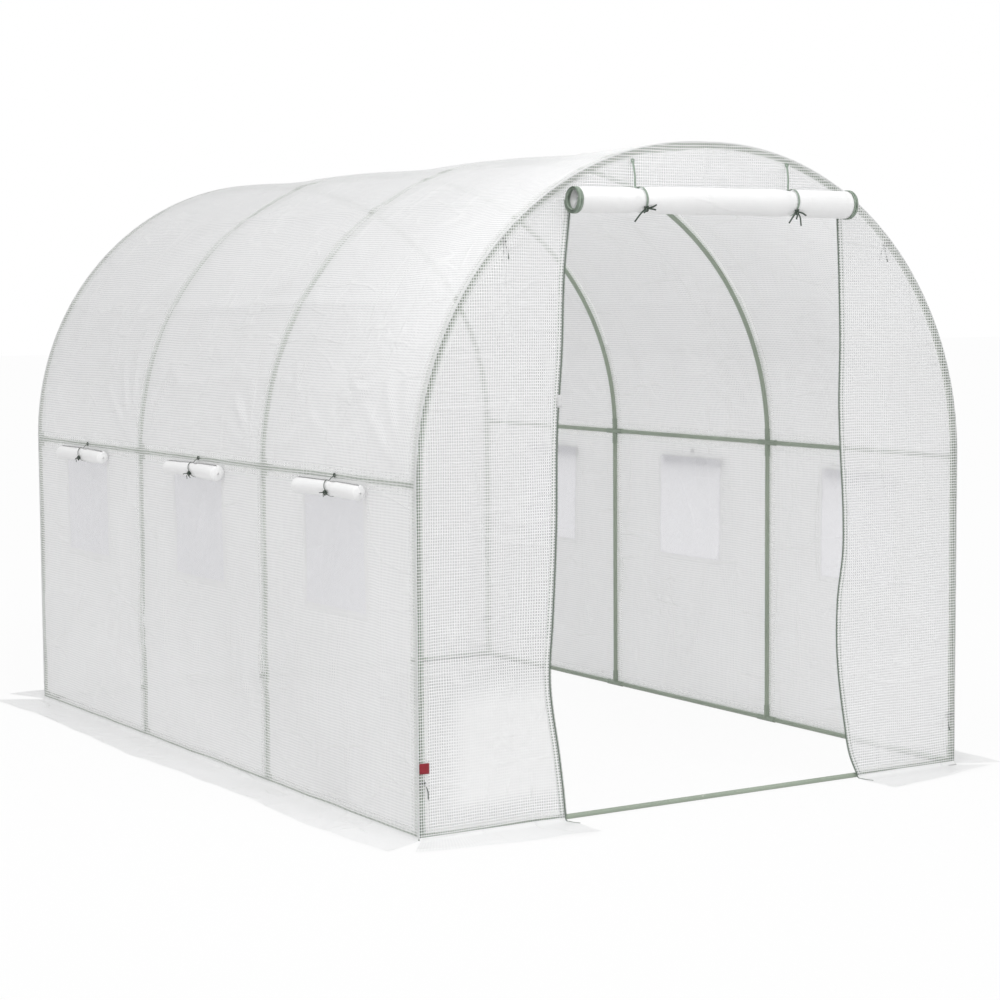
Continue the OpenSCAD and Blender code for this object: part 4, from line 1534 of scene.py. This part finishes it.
# %% Ties round a roll
def roll_tie(name, centre, outward, along, r, anchor, knot_turn, lean, tails, width, strap):
    """A tie round a roll. outward points away from the wall, along runs with the roll. anchor
    is (up from the centre, along) of the eyelet, and each tail (along, down, out) of its tip."""
    centre, outward, along = (np.array(v, dtype=float) for v in (centre, outward, along))
    up = np.array((0.0, 0.0, 1.0))
    wall_gap = r + 3 * MM

    def on_roll(angle, shift=0.0, grow=0.0):
        return centre + (r + grow) * (outward * math.cos(angle) + up * math.sin(angle)) + along * shift

    turns = np.linspace(-0.62 * math.tau, 0, 19)
    loop = tape(name + "_loop", [on_roll(knot_turn + a, lean) for a in turns], along, width, strap)
    top = centre + up * anchor[0] - outward * wall_gap + along * anchor[1]
    bend = np.linspace(math.radians(115), knot_turn + 0.2, 8)
    shifts = np.linspace(anchor[1] * 0.6, lean, 8)
    riser_route = [top + outward * 1.5 * MM, 0.5 * (top + on_roll(bend[0], shifts[0])) + outward * 2 * MM]
    riser_route += [on_roll(a, shift, 1.4 * MM) for a, shift in zip(bend, shifts)]
    riser = tape(name + "_riser", riser_route, along, width, strap)
    at = on_roll(knot_turn, lean, 3.5 * MM)
    pieces = [loop, riser, knot(name + "_knot", at, 17 * MM, tie_finish, tuple(outward))]
    pieces.append(eyelet(name + "_eyelet", Vector(top + outward * 1 * MM), tuple(outward), strap))
    for number, (sideways, down, out) in enumerate(tails):
        tip = at + along * sideways - up * down + outward * out
        middle = at + along * sideways * 0.45 - up * down * 0.3 + outward * (out * 0.6 + 3 * MM)
        way = along * down + up * sideways * 0.6 + outward * 0.25 * abs(sideways)
        pieces.append(tape(f"{name}_tail_{number}", [at, middle, tip], way, width * 0.75, tie_finish))
    return joined(name, pieces)


TAPE_W = 6.5 * MM
PINCHED = 0.87
window_tie_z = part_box("left_window_ties")[1][2] - window_roll_z[-1]
WINDOW_TAILS = (
    ((0.026, 0.002, 0.006), (-0.024, 0.006, 0.004), (0.006, 0.014, 0.002)),
    ((0.030, 0.004, 0.008), (-0.020, 0.014, 0.004), (-0.008, 0.018, 0.010)),
    ((0.020, 0.008, 0.006), (-0.022, 0.004, 0.004), (0.002, 0.016, 0.008)),
)
for side, wall in WALLS.items():
    for number, bay_y in enumerate(bay_ys, 1):
        tie = roll_tie(
            f"{wall}_window_tie_{number}", (side * window_roll_x, bay_y, window_roll_z[side]),
            (side, 0, 0), (0, 1, 0), window_roll_r * PINCHED + 1.2 * MM,
            (window_tie_z + 2 * MM, -0.015), math.radians(-22), WINDOW_KNOT,
            WINDOW_TAILS[number - 1], TAPE_W * 0.6, tie_finish,
        )
        adopt(tie, "tie_tape", f"{wall}_window_ties")
door_tie_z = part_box("door_ties")[1][2] - door_roll_at[2]
DOOR_TAILS = (
    ((-0.046, 0.040, 0.004), (0.038, -0.014, 0.006), (0.026, 0.004, 0.012), (-0.016, 0.014, 0.010)),
    ((-0.036, 0.036, 0.006), (0.034, 0.012, 0.004), (-0.010, 0.024, 0.010), (0.012, 0.044, 0.006)),
)
for number, (x, lean_in, tails) in enumerate(zip(DOOR_TIES, (0.007, 0.027), DOOR_TAILS), 1):
    radius = DOOR_RADII[0] + (DOOR_RADII[1] - DOOR_RADII[0]) * (x / door_roll_high[0] + 1) / 2
    tie = roll_tie(
        f"door_tie_{number}", (x, door_roll_at[1], door_roll_at[2]), (0, -1, 0), (1, 0, 0),
        radius * PINCHED + 1.4 * MM, (door_tie_z, lean_in), math.radians(-42), 0.008,
        tails, TAPE_W, strap_finish,
    )
    adopt(tie, "tie_tape", "door_ties")
print("8 ties round the rolls")

# %% [markdown]
# ## Ties on the end hoops
# Inside the cover, short tapes tie it to the end hoops, halfway up each bend and low on each
# leg. They show through the film as dark green spots.


# %% Hoop ties
low_tie_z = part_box("frame_ties")[0][2] + 8 * MM


def hoop_tie(name, middle, out, run):
    """A loop of tape round a tube that runs along run, knotted on its inner side."""
    middle, out, run = (np.array(v, dtype=float) for v in (middle, out, run))
    aside = np.cross(run, out)
    r = tube_r + 1.0 * MM
    turns = np.linspace(0, math.tau, 21) + math.pi
    ring = [middle + r * (out * math.cos(a) + aside * math.sin(a)) for a in turns]
    pieces = [tape(name + "_loop", ring, run, 10 * MM, tie_finish)]
    at = middle - out * (r + 3.5 * MM)
    pieces.append(knot(name + "_knot", at, 16 * MM, tie_finish, tuple(-out)))
    for number, (sideways, down) in enumerate(((0.02, 0.045), (-0.016, 0.05))):
        tip = at + aside * sideways - np.array((0, 0, down)) - out * 4 * MM
        halfway = at + aside * sideways * 0.6 - np.array((0, 0, down * 0.4)) - out * 6 * MM
        pieces.append(tape(f"{name}_tail_{number}", [at, halfway, tip], aside, TAPE_W * 0.75, tie_finish))
    return joined(name, pieces)


for end, end_name in ((-1, "front"), (1, "back")):
    for side, wall in WALLS.items():
        out = np.array((side * math.sqrt(0.5), 0, math.sqrt(0.5)))
        at = np.array((side * ridge_half, end * hoop_ys[-1], wall_h)) + out * hoop_r
        run = (-side * math.sqrt(0.5), 0, math.sqrt(0.5))
        high = hoop_tie(f"{end_name}_{wall}_hoop_tie_high", at, out, run)
        at = (side * tube_x, end * hoop_ys[-1], low_tie_z)
        low = hoop_tie(f"{end_name}_{wall}_hoop_tie_low", at, (side, 0, 0), (0, 0, 1))
        adopt(high, "tie_tape", "frame_ties")
        adopt(low, "tie_tape", "frame_ties")
print("8 hoop ties at radius", round(hoop_r, 3), "m")

# %% [markdown]
# ## Corner tag and door tab
# A plain red woven tag is sewn into the front left seam: a folded loop of ribbon, so it has a
# soft bend at its free edge. A small white tab is sewn to the door's left edge.

# %% Tag and tab
tag_low, tag_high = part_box("corner_tag")
tag_z = (tag_low[2] + tag_high[2]) / 2
front = -half_l - 2.4 * MM
tag_route = [
    (tag_low[0] + 4 * MM, front + 1.2 * MM, tag_z), (tag_low[0] + 14 * MM, front - 0.4 * MM, tag_z),
    (tag_high[0] - 4 * MM, front - 1.5 * MM, tag_z), (tag_high[0], front - 3.0 * MM, tag_z),
    (tag_high[0] - 3 * MM, front - 4.2 * MM, tag_z), (tag_low[0] + 16 * MM, front - 3.2 * MM, tag_z),
    (tag_low[0] + 4 * MM, front - 1.2 * MM, tag_z),
]
tag = tape("corner_tag_loop", tag_route, (0, 0, 1), tag_high[2] - tag_low[2], tag_finish, 0.6 * MM, 2 * MM)
adopt(tag, "tag_fabric", "corner_tag")
TAB_Z, TAB_H, TAB_OUT = 1.27, 38 * MM, 11 * MM
edge = float(door_edge(-1, np.array(TAB_Z)))
edge_y = float(door_edge_point(-1, np.array([0.0]), np.array([TAB_Z]), 4 * MM)[0, 1])
tab_route = [
    (edge - 6 * MM, edge_y, TAB_Z), (edge + TAB_OUT / 2, edge_y - 1 * MM, TAB_Z),
    (edge + TAB_OUT, edge_y, TAB_Z), (edge + TAB_OUT / 2, edge_y + 2 * MM, TAB_Z),
    (edge - 2 * MM, edge_y + 3 * MM, TAB_Z),
]
tab = tape("door_tab", tab_route, (0, 0, 1), TAB_H, hem_finish, 0.7 * MM, 2 * MM)
adopt(tab, "hem_sheet")
print("tag at height", round(tag_z, 3), "m")
